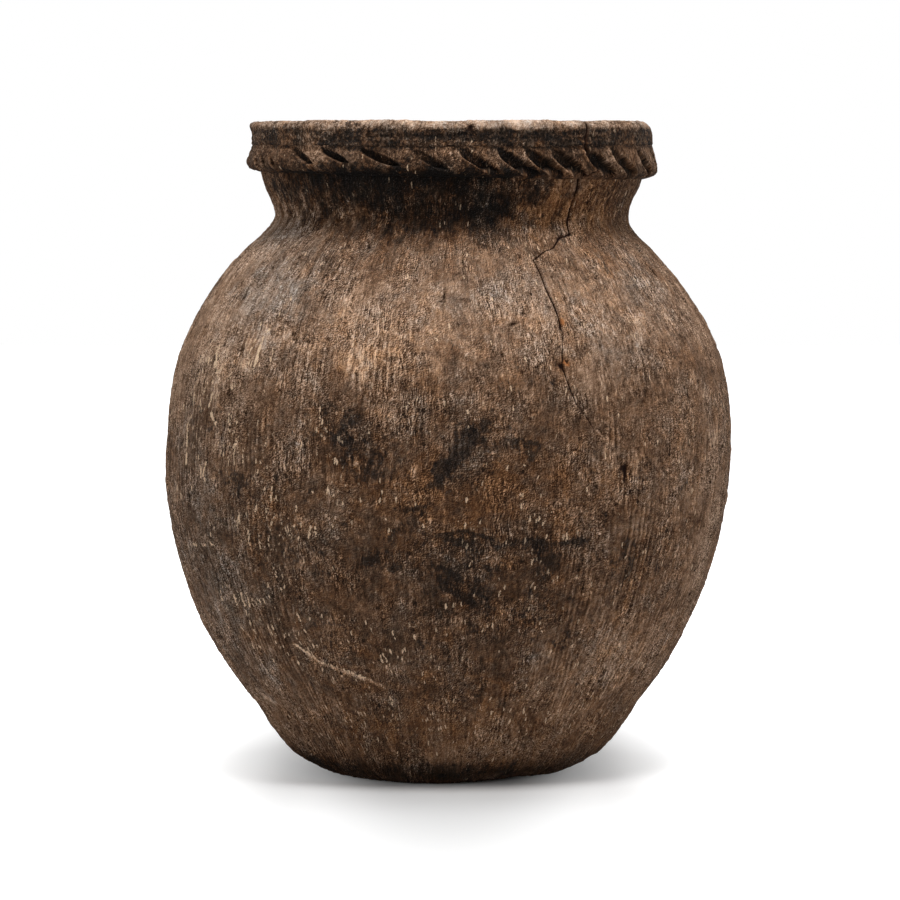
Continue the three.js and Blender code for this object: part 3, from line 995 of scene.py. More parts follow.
def inner_patch(line: np.ndarray, turns: np.ndarray = BODY_TURNS) -> Patch:
    """Patch of the jar's inside, or of a seam, along a line of radius and height."""
    skin = Skin(line, Face.INSIDE, turns)
    return Patch(skin, WEATHERING.inner_coat(skin))


@dataclass(frozen=True)
class Course:
    """A ring of wall between two joints."""

    node: str
    low: Joint
    high: Joint
    row_spacing: float = 1.25
    inner_rows: int = 9

    def build(self, clay: Clay) -> bpy.types.Object:
        """Build the ring: outer rows from joint to joint, then the inner rows back down."""
        length = np.linalg.norm(self.high.outer() - self.low.outer()) * 1.02
        rows = int(length / self.row_spacing)
        outer = sweep(self.low.outer(), self.low.above, self.high.outer(), self.high.below, rows)
        low, high = (joint.inner(FORM.wall, FORM.scarf) for joint in (self.low, self.high))
        inner = sweep(low, self.low.above, high, self.high.below, self.inner_rows)[::-1]
        return Piece(self.node, clay, [outer_patch(outer), inner_patch(inner)]).build()


@dataclass(frozen=True)
class BaseSlab:
    """The disc that the jar stands on, with its swept-up edge and the floor inside."""

    edge_rows: int = 34
    floor_rows: int = 16
    under_rows: int = 10
    sag: tuple[tuple[float, float], ...] = (
        (-180, -1.0), (-90, -1.4), (-65, -0.4), (-45, 1.4), (-18, 3.6), (5, 2.6), (20, 0.2),
        (36, -1.0), (55, 0.0), (75, -1.4), (100, -1.0), (180, -1.0),
    )

    def settled(self, skin: Skin) -> np.ndarray:
        """Clay that sagged to the ground at the front left, and is rubbed away elsewhere."""
        turns, depths = zip(*self.sag)
        spread = smooth_step(skin.radius, 48.0, 68.0) * (1.0 - smooth_step(skin.radius, 88.0, 103.0))
        return np.interp(np.degrees(skin.turn), turns, depths) * spread

    def build(self, clay: Clay) -> bpy.types.Object:
        """Build the slab from the middle of its underside round its edge to its top."""
        foot = [FORM.foot_radius, FORM.slab]
        reach = np.linspace(2.0, FORM.standing_radius, self.under_rows, endpoint=False)
        under = np.stack([reach, np.zeros(self.under_rows)], axis=1)
        edge = sweep([FORM.standing_radius, 0.0], 90.0, foot, FORM.foot_lean, self.edge_rows)
        back = np.linspace(FORM.foot_radius - 1.0, 2.0, self.floor_rows)
        top = np.stack([back, np.full(self.floor_rows, FORM.slab)], axis=1)
        outer = outer_patch(np.concatenate([under, edge]))
        outer.coat.push[:self.under_rows + 1] = 0.0
        ease = smooth_step(np.arange(self.edge_rows + 1), 0.0, 12.0)[:, None]
        outer.coat.push[self.under_rows:] *= ease
        outer.coat.push[:] += self.settled(outer.skin)
        floor = inner_patch(top)
        floor.coat.push[:] = np.minimum(floor.coat.push, 0.0)
        return Piece("base_slab", clay, [outer, floor], closed_on_axis=True).build()


@dataclass(frozen=True)
class HeelRing:
    """The first ring, whose foot is a flat face on the slab."""

    outer_rows: int = 28
    inner_rows: int = 6

    def build(self, clay: Clay) -> bpy.types.Object:
        """Build the ring up its outside and down its inside."""
        width = FORM.wall / math.cos(math.radians(FORM.foot_lean))
        foot = [FORM.foot_radius, FORM.slab]
        inner_foot = [FORM.foot_radius - width, FORM.slab]
        outer = sweep(foot, FORM.foot_lean, FORM.heel.outer(), FORM.heel.below, self.outer_rows)
        top = FORM.heel.inner(FORM.wall, FORM.scarf)
        inner = sweep(inner_foot, FORM.foot_lean, top, FORM.heel.below, self.inner_rows)[::-1]
        outside = outer_patch(outer)
        outside.coat.push[:] += BaseSlab().settled(outside.skin)
        return Piece("heel_ring", clay, [outside, inner_patch(inner)]).build()


@dataclass(frozen=True)
class Collar:
    """The flared collar, straight where the cordon is pressed on it."""

    flare_rows: int = 24
    seat_rows: int = 16
    inner_rows: int = 10

    def build(self, clay: Clay) -> bpy.types.Object:
        """Build the collar up its flare and seat, and down its inside."""
        foot_height = FORM.cordon_foot()
        foot = [FORM.seat_radius(foot_height), foot_height]
        lean = FORM.collar.below
        flare = sweep(FORM.neck.outer(), FORM.neck.above, foot, lean, self.flare_rows)
        seat = sweep(foot, lean, FORM.collar.outer(), lean, self.seat_rows)[1:]
        low = FORM.neck.inner(FORM.wall, FORM.scarf)
        high = FORM.collar.inner(FORM.wall, FORM.scarf)
        inner = sweep(low, lean, high, lean, self.inner_rows)[::-1]
        outer = outer_patch(np.concatenate([flare, seat]))
        return Piece("neck_collar", clay, [outer, inner_patch(inner)]).build()


@dataclass(frozen=True)
class Lip:
    """The thick rim: upright band, worn top edge, flat top and rounded inner edge."""

    outer_round: float = 4.0
    inner_round: float = 3.0
    band_rise: float = 2.0
    band_rows: int = 4
    rise_rows: int = 16
    edge_rows: int = 9
    flat_rows: int = 8
    turn_rows: int = 6
    back_rows: int = 7

    def build(self, clay: Clay) -> bpy.types.Object:
        """Build the rim up its band, over its top and down to the seam inside."""
        radius, top = FORM.lip_radius, FORM.height
        inner = radius - FORM.lip_thickness
        seam = FORM.collar.outer()
        low = [radius, seam[1] + self.band_rise]
        band = sweep(seam, 45.0, low, 0.0, self.band_rows)
        rise = sweep(low, 0.0, [radius, top - self.outer_round], 0.0, self.rise_rows)[1:]
        edge = sweep(rise[-1], 0.0, [radius - self.outer_round, top], -90.0, self.edge_rows)[1:]
        flat = sweep(edge[-1], -90.0, [inner + self.inner_round, top], -90.0, self.flat_rows)[1:]
        turn = sweep(flat[-1], -90.0, [inner, top - self.inner_round], -180.0, self.turn_rows)[1:]
        foot = FORM.collar.inner(FORM.wall, FORM.scarf)
        back = np.linspace(turn[-1], foot, self.back_rows + 1)[1:]
        skin = Skin(np.concatenate([band, rise, edge, flat, turn]), Face.TRIM, RIM_TURNS)
        coat = WEATHERING.trim_coat(skin)
        wave = 0.8 * np.cos(skin.turn - math.radians(25.0)) + 1.1 * self.unevenness(skin)
        push = coat.push + wave * skin.normal[:, 1:2].clip(0.0)**2
        ragged = 3.0 * Lattice.fractal(skin.brush(), 6.0, 3, 55) - 1.0 * smooth_step(-skin.turn, 0.0, 0.5)
        worn = smooth_step(skin.height + ragged, top - 5.5, top - 2.5) * self.wear(skin)
        # the band below the top edge is painted darker, partly as soot and partly as painted shade
        dark = 1.1 * (1.0 - smooth_step(skin.height, top - 6.0, top - 3.0))
        blotch = Lattice.fractal(skin.brush(), (15.0, 15.0, 5.0), 4, 53)
        sooty = 0.55 * smooth_step(blotch, -0.1, 0.4) * (1.0 - 0.8 * worn)
        rubbed = 0.45 * smooth_step(-blotch, 0.05, 0.4)
        worn_coat = replace(coat, push=push, bare_and_highlight=coat.bare_and_highlight + 1.15 * worn + rubbed,
                            soot=coat.soot + sooty, shade=coat.shade + dark, ash_and_sheen=coat.ash_and_sheen + 0.3)
        patches = [Patch(skin, worn_coat), inner_patch(back, RIM_TURNS)]
        return Piece("lip_ring", clay, patches).build()

    def unevenness(self, skin: Skin) -> np.ndarray:
        """Hand-made rise and fall of the rim's top, by turn alone."""
        round_rim = skin.brush() * np.array([1.0, 1.0, 0.0])
        return Lattice.fractal(round_rim, 45.0, 3, 51)

    def wear(self, skin: Skin) -> np.ndarray:
        """How far the top edge is rubbed pale: most from turn -22 to 42, in patches."""
        turn = np.degrees(skin.turn)
        front = smooth_step(turn, -45.0, -22.0) * (1.0 - smooth_step(turn, 42.0, 56.0))
        patchy = 0.75 + 0.9 * Lattice.fractal(skin.brush(), 9.0, 3, 52)
        return np.clip((0.25 + 0.75 * front) * patchy, 0.0, 1.0)


@dataclass(frozen=True)
class Notch:
    """A slanted groove pressed across the cordon: its turns and heights at both ends."""

    top_turn: float
    top: float
    foot_turn: float
    foot: float
    width: float = 8.0
    depth: float = 1.0


FRONT_NOTCHES = (
    Notch(-73.0, 378.0, -69.5, 369.0, 5.0, 0.7),
    Notch(-67.5, 378.0, -64.0, 369.0, 5.0, 0.75),
    Notch(-61.5, 377.5, -58.0, 369.0, 4.5, 0.6),
    Notch(-51.5, 385.5, -42.5, 373.0, 8.5, 0.65),
    Notch(-40.2, 385.5, -30.5, 374.5, 10.0, 0.95),
    Notch(-26.5, 384.8, -15.5, 373.0, 11.5, 0.95),
    Notch(-12.0, 385.5, -1.5, 370.5, 9.0, 0.6),
    Notch(1.2, 386.0, 12.0, 369.5, 11.0, 0.8),
    Notch(12.2, 385.5, 23.2, 368.0, 12.5, 0.95),
    Notch(20.3, 385.5, 31.0, 368.0, 12.5, 1.0),
    Notch(28.3, 385, 38.8, 368.0, 13.0, 1.0),
    Notch(39.9, 385, 50.6, 367.5, 13.5, 1.0),
    Notch(50.5, 385, 61.4, 367.8, 13.5, 0.95),
    Notch(64.6, 384, 74.5, 367.8, 13.0, 0.95),
    Notch(78.0, 384, 88.0, 367.8, 13.0, 0.95),
)


@dataclass(frozen=True)
class Press:
    """What the notches do at each point: pressed share of the depth, and raised edges."""

    cut: np.ndarray
    ridge: np.ndarray


@dataclass(frozen=True)
class Cordon:
    """The notched strip round the collar."""

    pitch: float = 11.3
    jitter: float = 1.6
    top_lean: float = -14.0
    drop: float = 2.2
    floor: float = 0.7
    gap_at_top: float = 2.5
    closing: float = 0.45
    widening: float = 1.15
    under_rows: int = 20
    over_rows: int = 30
    back_rows: int = 4
    tuck: float = 3.0

    def notches(self) -> list[Notch]:
        """The notches seen on the front, and evenly spaced ones round the back."""
        rng = np.random.default_rng(5)
        found = list(FRONT_NOTCHES)
        turn = 92.0
        while turn < 264.0:
            shift = turn + rng.uniform(-self.jitter, self.jitter)
            slant = rng.uniform(8.0, 10.5)
            width, depth = rng.uniform(12.0, 15.0), rng.uniform(0.85, 1.0)
            found.append(Notch(shift, 384.5, shift + slant, 369.0, width, depth))
            turn += self.pitch
        return found

    def press(self, skin: Skin) -> Press:
        """Work out the notches: how deep each point is pressed and where the edges rise.

        A notch is a slanted scoop shaped like a leaf: narrow at its top, widest half way
        down, narrower again at the nose. Its sides are steep.

        Args:
            skin: the strip's grid.

        Returns:
            The pressed share of the depth and the ridges beside the notches.
        """
        turn = np.degrees(skin.turn)
        cut = np.zeros(turn.shape)
        ridge = np.zeros(turn.shape)
        wobble = Lattice.fractal(skin.brush(), 5.0, 2, 31)
        for notch in self.notches():
            share = (notch.top - skin.height) / (notch.top - notch.foot)
            middle = notch.top_turn + (notch.foot_turn - notch.top_turn) * np.clip(share, -0.3, 1.3)
            away = (turn - middle + 180.0) % 360.0 - 180.0
            side = np.radians(away) * skin.radius + 0.7 * wobble
            widest = self.widening * notch.width - self.gap_at_top
            opening = self.gap_at_top + widest * smooth_step(share, -0.05, 0.5)
            opening = opening * (1.0 - self.closing * smooth_step(share, 0.6, 1.05))
            half = opening / 2.0
            left = smooth_step(side, -half - 0.6, -half + 1.0)
            right = 1.0 - smooth_step(side, half - 1.6, half + 0.7)
            ends = smooth_step(share, -0.08, 0.2) * (1.0 - smooth_step(share, 0.88, 1.04))
            groove = notch.depth * left * right * ends
            cut = np.maximum(cut, groove)
            # the ridges beside a notch are raised and also painted pale as a highlight, the left one twice
            # as strong as the right
            lit = np.exp(-((side + half + 1.0) / 1.1)**2) + 0.5 * np.exp(-((side - half - 0.8) / 1.0)**2)
            ridge = np.maximum(ridge, lit * notch.depth * smooth_step(share, 0.0, 0.5))
        return Press(cut, ridge)

    def build(self, clay: Clay) -> bpy.types.Object:
        """Build the strip and press its notches.

        The outline is the underside, out to the nose, then the long upper side and the back.
        A notch brings the surface in to a floor near the collar, over a groove with a steep
        left side and an easier right side. Its ridges are painted pale, partly as wear and partly
        as painted highlight, and the notch, the underside and the crease at the rim are painted
        with shade. The strip hangs lower to the right, by the drop at the rim's radius, and less
        towards its upper edge.

        Args:
            clay: the strip's clay.

        Returns:
            The new object.
        """
        foot = FORM.cordon_foot()
        nose = [FORM.seat_radius(foot + FORM.cordon_nose_rise) + FORM.cordon_proud,
                foot + FORM.cordon_nose_rise]
        start = [FORM.seat_radius(foot) - 0.6, foot + 2.2]
        end = [FORM.lip_radius - 0.4, FORM.collar.height + 1.2]
        under = sweep(start, 78.0, nose, 0.0, self.under_rows)
        over = sweep(nose, -6.0, end, self.top_lean, self.over_rows)[1:]
        back_top, back_foot = [end[0] - self.tuck, end[1] - 0.6], [start[0] - 0.8, start[1] + 0.5]
        back = np.linspace(back_top, back_foot, self.back_rows)
        skin = Skin(np.concatenate([under, over]), Face.TRIM, RIM_TURNS)
        coat = WEATHERING.trim_coat(skin)
        press = self.press(skin)
        proud = np.clip(skin.radius - FORM.seat_radius(skin.height), 0.0, None)
        depth = press.cut * np.clip(proud - self.floor, 0.0, None)
        edge = press.ridge * (1.0 - press.cut)
        push = coat.push - depth + 0.5 * edge
        # painted shade under the nose (below) and in the crease at the rim (above)
        below = smooth_step(-skin.height, -nose[1], -foot - 2.0)
        above = smooth_step(skin.height, end[1] - 3.0, end[1] - 1.0)
        blotch = Lattice.fractal(skin.brush(), 8.0, 3, 54)
        # soot in the notches, partly real soot and partly painted shade in the hollows
        sooty = 0.45 * smooth_step(press.cut, 0.3, 0.8) + 0.45 * smooth_step(blotch, 0.05, 0.4)
        # pale ridges beside the notches: partly wear, partly painted highlight
        rubbed = coat.bare_and_highlight + 0.9 * edge + 0.3 * smooth_step(-blotch, 0.1, 0.4)
        # painted shade in the notches, under the nose and in the crease at the rim
        dark = coat.shade + press.cut + 0.3 * below + 0.5 * above
        pressed = replace(coat, push=push, bare_and_highlight=rubbed, soot=coat.soot + sooty, shade=dark)
        patches = [Patch(skin, pressed), inner_patch(back, RIM_TURNS)]
        piece = Piece("rope_cordon", clay, patches).build()
        points = np.zeros(len(piece.data.vertices) * 3)
        piece.data.vertices.foreach_get("co", points)
        points = points.reshape(-1, 3)
        hung = 1.0 - smooth_step(points[:, 2], nose[1] * METRES, end[1] * METRES)
        points[:, 2] -= self.drop * hung * points[:, 0] / FORM.lip_radius
        piece.data.vertices.foreach_set("co", points.ravel())
        return piece


class Wiring:
    """Adds and links shader nodes in one node tree."""

    def __init__(self, tree: bpy.types.NodeTree) -> None:
        """Keep the tree to work on."""
        self.tree = tree

    def node(self, kind: str, **settings: object) -> bpy.types.Node:
        """Add a node of a type and set its properties."""
        made = self.tree.nodes.new(kind)
        for name, value in settings.items():
            setattr(made, name, value)
        return made

    def feed(self, socket: Socket, value: object) -> None:
        """Link a socket to another, or set it to a plain value."""
        if isinstance(value, Socket):
            self.tree.links.new(value, socket)
        else:
            socket.default_value = value

    def fed(self, made: bpy.types.Node, places: Iterable, values: Iterable) -> bpy.types.Node:
        """Feed values into a node's inputs, given by number or name."""
        for place, value in zip(places, values):
            self.feed(made.inputs[place], value)
        return made

    def maths(self, operation: str, *values: object, clamp: bool = False) -> Socket:
        """A Math node on one to three values."""
        made = self.node("ShaderNodeMath", operation=operation, use_clamp=clamp)
        return self.fed(made, range(len(values)), values).outputs[0]

    def product(self, first: object, second: object) -> Socket:
        """One value times another."""
        return self.maths("MULTIPLY", first, second)

    def scaled(self, value: object, gain: object, shift: object, clamp: bool = False) -> Socket:
        """A value times a gain, plus a shift."""
        return self.maths("MULTIPLY_ADD", value, gain, shift, clamp=clamp)

    def total(self, *values: object) -> Socket:
        """Sum of the values."""
        result = values[0]
        for value in values[1:]:
            result = self.maths("ADD", result, value)
        return result

    def centred(self, value: object, gain: float) -> Socket:
        """A noise less its middle, times a gain."""
        return self.product(self.maths("SUBTRACT", value, 0.5), gain)

    def ease(self, value: object, start: object, end: object) -> Socket:
        """Smooth step of a value between two others, falling where the start is the higher."""
        made = self.node("ShaderNodeMapRange", interpolation_type="SMOOTHSTEP")
        return self.fed(made, (0, 1, 2), (value, start, end)).outputs[0]

    def ridge(self, value: object, width: float) -> Socket:
        """Thin lines where a noise crosses its middle: 1 on the line, 0 a width away."""
        return self.ease(self.maths("ABSOLUTE", self.maths("SUBTRACT", value, 0.5)), width, 0.0)

    def texture(self, place: object, scale: float, detail: float, rough: float) -> bpy.types.NodeOutputs:
        """Outputs of a noise texture at a scale, in cells for each metre."""
        made = self.node("ShaderNodeTexNoise")
        self.fed(made, ("Vector", "Scale", "Detail", "Roughness"), (place, scale, detail, rough))
        return made.outputs

    def noise(self, place: object, scale: float, detail: float, rough: float) -> Socket:
        """Grey noise at a scale, in cells for each metre."""
        return self.texture(place, scale, detail, rough)["Fac"]

    def cells(self, place: object, scale: float, feature: str = "F1") -> bpy.types.NodeOutputs:
        """Outputs of Voronoi cells at a scale, in cells for each metre."""
        made = self.node("ShaderNodeTexVoronoi", feature=feature)
        return self.fed(made, ("Vector", "Scale"), (place, scale)).outputs

    def dots(self, cells: bpy.types.NodeOutputs, rim: tuple[float, float], few: tuple[object, object]
             ) -> Socket:
        """Dots at the middles of some cells.

        Args:
            cells: the cells.
            rim: distances from a cell's middle at which its dot is 0 and 1.
            few: a cell's own random tone at which its dot is left out and whole.

        Returns:
            Values from 0 to 1.
        """
        return self.product(self.ease(cells["Distance"], *rim), self.ease(cells["Color"], *few))

    def stretch(self, place: object, factor: object, shift: tuple[float, float, float] = (0.0, 0.0, 0.0)
                ) -> Socket:
        """Scale and shift coordinates."""
        made = self.node("ShaderNodeMapping")
        return self.fed(made, ("Vector", "Scale", "Location"), (place, factor, shift)).outputs[0]

    def shake(self, place: object, scale: float, reach: float) -> Socket:
        """Move coordinates by a noise, so that brushed lines wander."""
        moved = self.node("ShaderNodeVectorMath", operation="MULTIPLY_ADD")
        shaking = self.texture(place, scale, 2.0, 0.5)["Color"]
        return self.fed(moved, (0, 1, 2), (shaking, (reach, reach, reach), place)).outputs[0]

    def value(self, name: str) -> Socket:
        """A float attribute of the mesh."""
        return self.node("ShaderNodeAttribute", attribute_name=name).outputs["Fac"]

    def mix(self, share: object, first: object, second: object, blend: str = "MIX") -> Socket:
        """Blend two colours."""
        made = self.node("ShaderNodeMix", data_type="RGBA", blend_type=blend)
        return self.fed(made, (0, 6, 7), (share, first, second)).outputs[2]

    def times(self, first: object, second: object) -> Socket:
        """Product of two colours."""
        return self.mix(1.0, first, second, "MULTIPLY")

    def ramp(self, value: object, stops: tuple[tuple[float, tuple[float, float, float]], ...]) -> Socket:
        """A colour ramp with the given stops."""
        made = self.fed(self.node("ShaderNodeValToRGB"), (0,), (value,))
        band = made.color_ramp
        while len(band.elements) < len(stops):
            band.elements.new(0.5)
        for element, (place, colour) in zip(band.elements, stops):
            element.position = place
            element.color = (*colour, 1.0)
        return made.outputs[0]


@dataclass(frozen=True)
class ClayFinish:
    """One course's fired and smoked clay."""

    slot: str
    lightness: float = 0.0
    smoke: float = 0.0
    weave: tuple[float, float, float] = (1.0, 1.0, 0.16)
    comb: tuple[float, float, float] = (1.0, 1.0, 0.06)
    grit: float = 1.0
    crust: float = 0.07


FINISHES = (
    ClayFinish("base_clay", -0.05, 0.15, (1.0, 1.0, 0.9), (1.0, 1.0, 0.5)),
    ClayFinish("heel_clay", -0.03, 0.0, (1.0, 1.0, 0.8), (1.0, 1.0, 0.35)),
    ClayFinish("lower_clay", 0.0, 0.0, (1.0, 1.0, 0.28), (1.0, 1.0, 0.1)),
    ClayFinish("belly_clay"),
    ClayFinish("upper_clay"),
    ClayFinish("shoulder_clay"),
    ClayFinish("neck_clay"),
    ClayFinish("collar_clay", crust=0.2),
    ClayFinish("cordon_clay", -0.11, 0.1, (0.7, 0.7, 0.7), (0.5, 0.5, 0.5), 0.65, 0.2),
    ClayFinish("lip_clay", 0.02, 0.05, (0.5, 0.5, 0.8), (0.08, 0.08, 1.0), 0.6, 0.28),
)

MIDDLE_TONE = 0.505
BUMP_DEPTH = 0.001
SPECULAR = 0.12

CLAY_TONES = (
    (0.0, (0.0070, 0.0034, 0.0015)),
    (0.25, (0.033, 0.0172, 0.0086)),
    (0.45, (0.101, 0.0560, 0.0312)),
    (0.62, (0.234, 0.144, 0.0885)),
    (0.78, (0.415, 0.280, 0.186)),
    (1.0, (0.70, 0.53, 0.395)),
)

COOL_CAST = (0.82, 1.0, 1.25, 1.0)
WARM_CAST = (1.21, 0.95, 0.69, 1.0)
FRESH_CLAY = (0.36, 0.14, 0.05, 1.0)
RUBBED_CREAM = (0.72, 0.52, 0.35, 1.0)
SOOT_TINT = (0.17, 0.195, 0.23, 1.0)
# a painted sheen on the soot, on the lit side of the grain
PAINTED_SOOT_SHEEN = (0.055, 0.050, 0.048, 1.0)
CRACK_RUST = (0.06, 0.022, 0.01, 1.0)
# painted shade in the crack's gap and in deep pits
PAINTED_GAP_SHADE = (0.012, 0.0042, 0.0018, 1.0)


@dataclass(frozen=True)
class ClaySkin:
    """Noise fields and mesh masks that the clay's colour and height share."""

    streaks: Socket
    combs: Socket
    combed: Socket
    grain: Socket
    rise: Socket
    flake: Socket
    seams: Socket
    pits: Socket
    specks: Socket
    dashes: Socket
    crust: Socket
    scratches: Socket
    edges: Socket
    rubbed: Socket
    coarse: Socket
    lumps: Socket
    mottle: Socket
    blot: Socket
    cloud: Socket
    tinge: Socket
    rust: Socket
    soot: Socket
    shade: Socket
    bare_and_highlight: Socket
    ochre: Socket
    ash_and_sheen: Socket
    fleck: Socket
    relief: Socket
    crack: Socket
    gape: Socket

    @classmethod
    def woven(cls, wire: Wiring, weave: object, comb: object) -> "ClaySkin":
        """Make the fields: lines up the wall, flakes, pits, specks and patches of all sizes.

        A field's shift keeps it apart from the others. The grain is also read 0.3 mm to one
        side, and the difference is painted light on one side of each grain and painted shade on
        the other. Comb lines read 0.6 mm to one side give each scratch a painted highlight along
        one edge.

        Args:
            wire: the group's wiring.
            weave: scale along each axis for short worked lines.
            comb: scale along each axis for long worked lines.

        Returns:
            The fields.
        """
        plain, comb_shift = (1.0, 1.0, 1.0), (0.3, 0.1, 0.2)
        brush = wire.node("ShaderNodeAttribute", attribute_name="brush").outputs["Vector"]
        shaken = wire.shake(brush, 70.0, 0.005)
        frayed = wire.shake(shaken, 500.0, 0.0016)
        combing = wire.stretch(shaken, comb, comb_shift)
        beside = wire.stretch(wire.stretch(shaken, plain, (0.0006, 0.0, -0.0002)), comb, comb_shift)
        lit_side = wire.stretch(shaken, plain, (0.0003, 0.0, -0.0003))
        grain = wire.noise(shaken, 1050.0, 2.0, 0.8)
        bed = wire.stretch(frayed, (1.0, 1.0, 0.55))
        seams = wire.ease(wire.cells(bed, 400.0, "DISTANCE_TO_EDGE")["Distance"], 0.16, 0.02)
        holes = wire.cells(wire.stretch(frayed, (1.0, 1.0, 0.8), (0.4, 0.6, 0.1)), 260.0)
        specks = wire.cells(wire.stretch(frayed, (1.0, 1.0, 0.7), (0.8, 0.3, 0.5)), 430.0)
        nicks = wire.cells(wire.stretch(frayed, (1.0, 1.0, 0.27), (0.2, 0.9, 0.7)), 760.0)
        masks = {name: wire.value(name) for name in COAT_MASKS}
        clustered = wire.noise(wire.stretch(shaken, (1.0, 1.0, 0.4)), 105.0, 2.0, 0.6)
        clustered = wire.product(masks["fleck"], wire.ease(clustered, 0.46, 0.58))
        few = wire.scaled(clustered, -0.5, 0.9)
        crust = wire.noise(wire.stretch(frayed, (1.0, 1.0, 0.9), (0.5, 0.2, 0.9)), 430.0, 3.0, 0.7)
        return cls(
            streaks=wire.noise(wire.stretch(shaken, weave), 880.0, 2.0, 0.6),
            combs=wire.noise(combing, 430.0, 1.0, 0.5),
            combed=wire.ease(wire.noise(brush, 30.0, 2.0, 0.5), 0.4, 0.62),
            grain=grain,
            # painted light and shade: the grain less the grain beside it
            rise=wire.maths("SUBTRACT", grain, wire.noise(lit_side, 1050.0, 2.0, 0.8)),
            flake=wire.cells(bed, 400.0)["Color"],
            seams=wire.product(seams, wire.ease(wire.noise(shaken, 150.0, 3.0, 0.6), 0.45, 0.6)),
            pits=wire.dots(holes, (0.36, 0.16), (0.3, 0.24)),
            specks=wire.dots(specks, (0.44, 0.2), (0.66, 0.74)),
            dashes=wire.dots(nicks, (0.47, 0.38), (few, wire.total(few, 0.06))),
            crust=wire.ease(crust, 0.46, 0.54),
            scratches=wire.ridge(wire.noise(combing, 340.0, 2.0, 0.6), 0.03),
            # painted highlight beside each scratch
            edges=wire.ridge(wire.noise(beside, 340.0, 2.0, 0.6), 0.03),
            rubbed=wire.ease(wire.noise(shaken, 60.0, 3.0, 0.6), 0.48, 0.62),
            coarse=wire.ease(wire.noise(brush, 36.0, 3.0, 0.6), 0.36, 0.64),
            lumps=wire.noise(shaken, 260.0, 3.0, 0.65),
            mottle=wire.noise(shaken, 95.0, 5.0, 0.7),
            blot=wire.noise(wire.stretch(shaken, (1.0, 1.0, 0.7), (0.7, 0.2, 0.4)), 42.0, 5.0, 0.68),
            cloud=wire.noise(brush, 17.0, 3.0, 0.55),
            tinge=wire.noise(wire.stretch(frayed, (1.0, 1.0, 0.8), (0.1, 0.8, 0.6)), 330.0, 4.0, 0.75),
            rust=wire.noise(wire.stretch(shaken, (1.0, 1.0, 0.8), (0.9, 0.5, 0.1)), 60.0, 4.0, 0.7),
            **masks,
        )


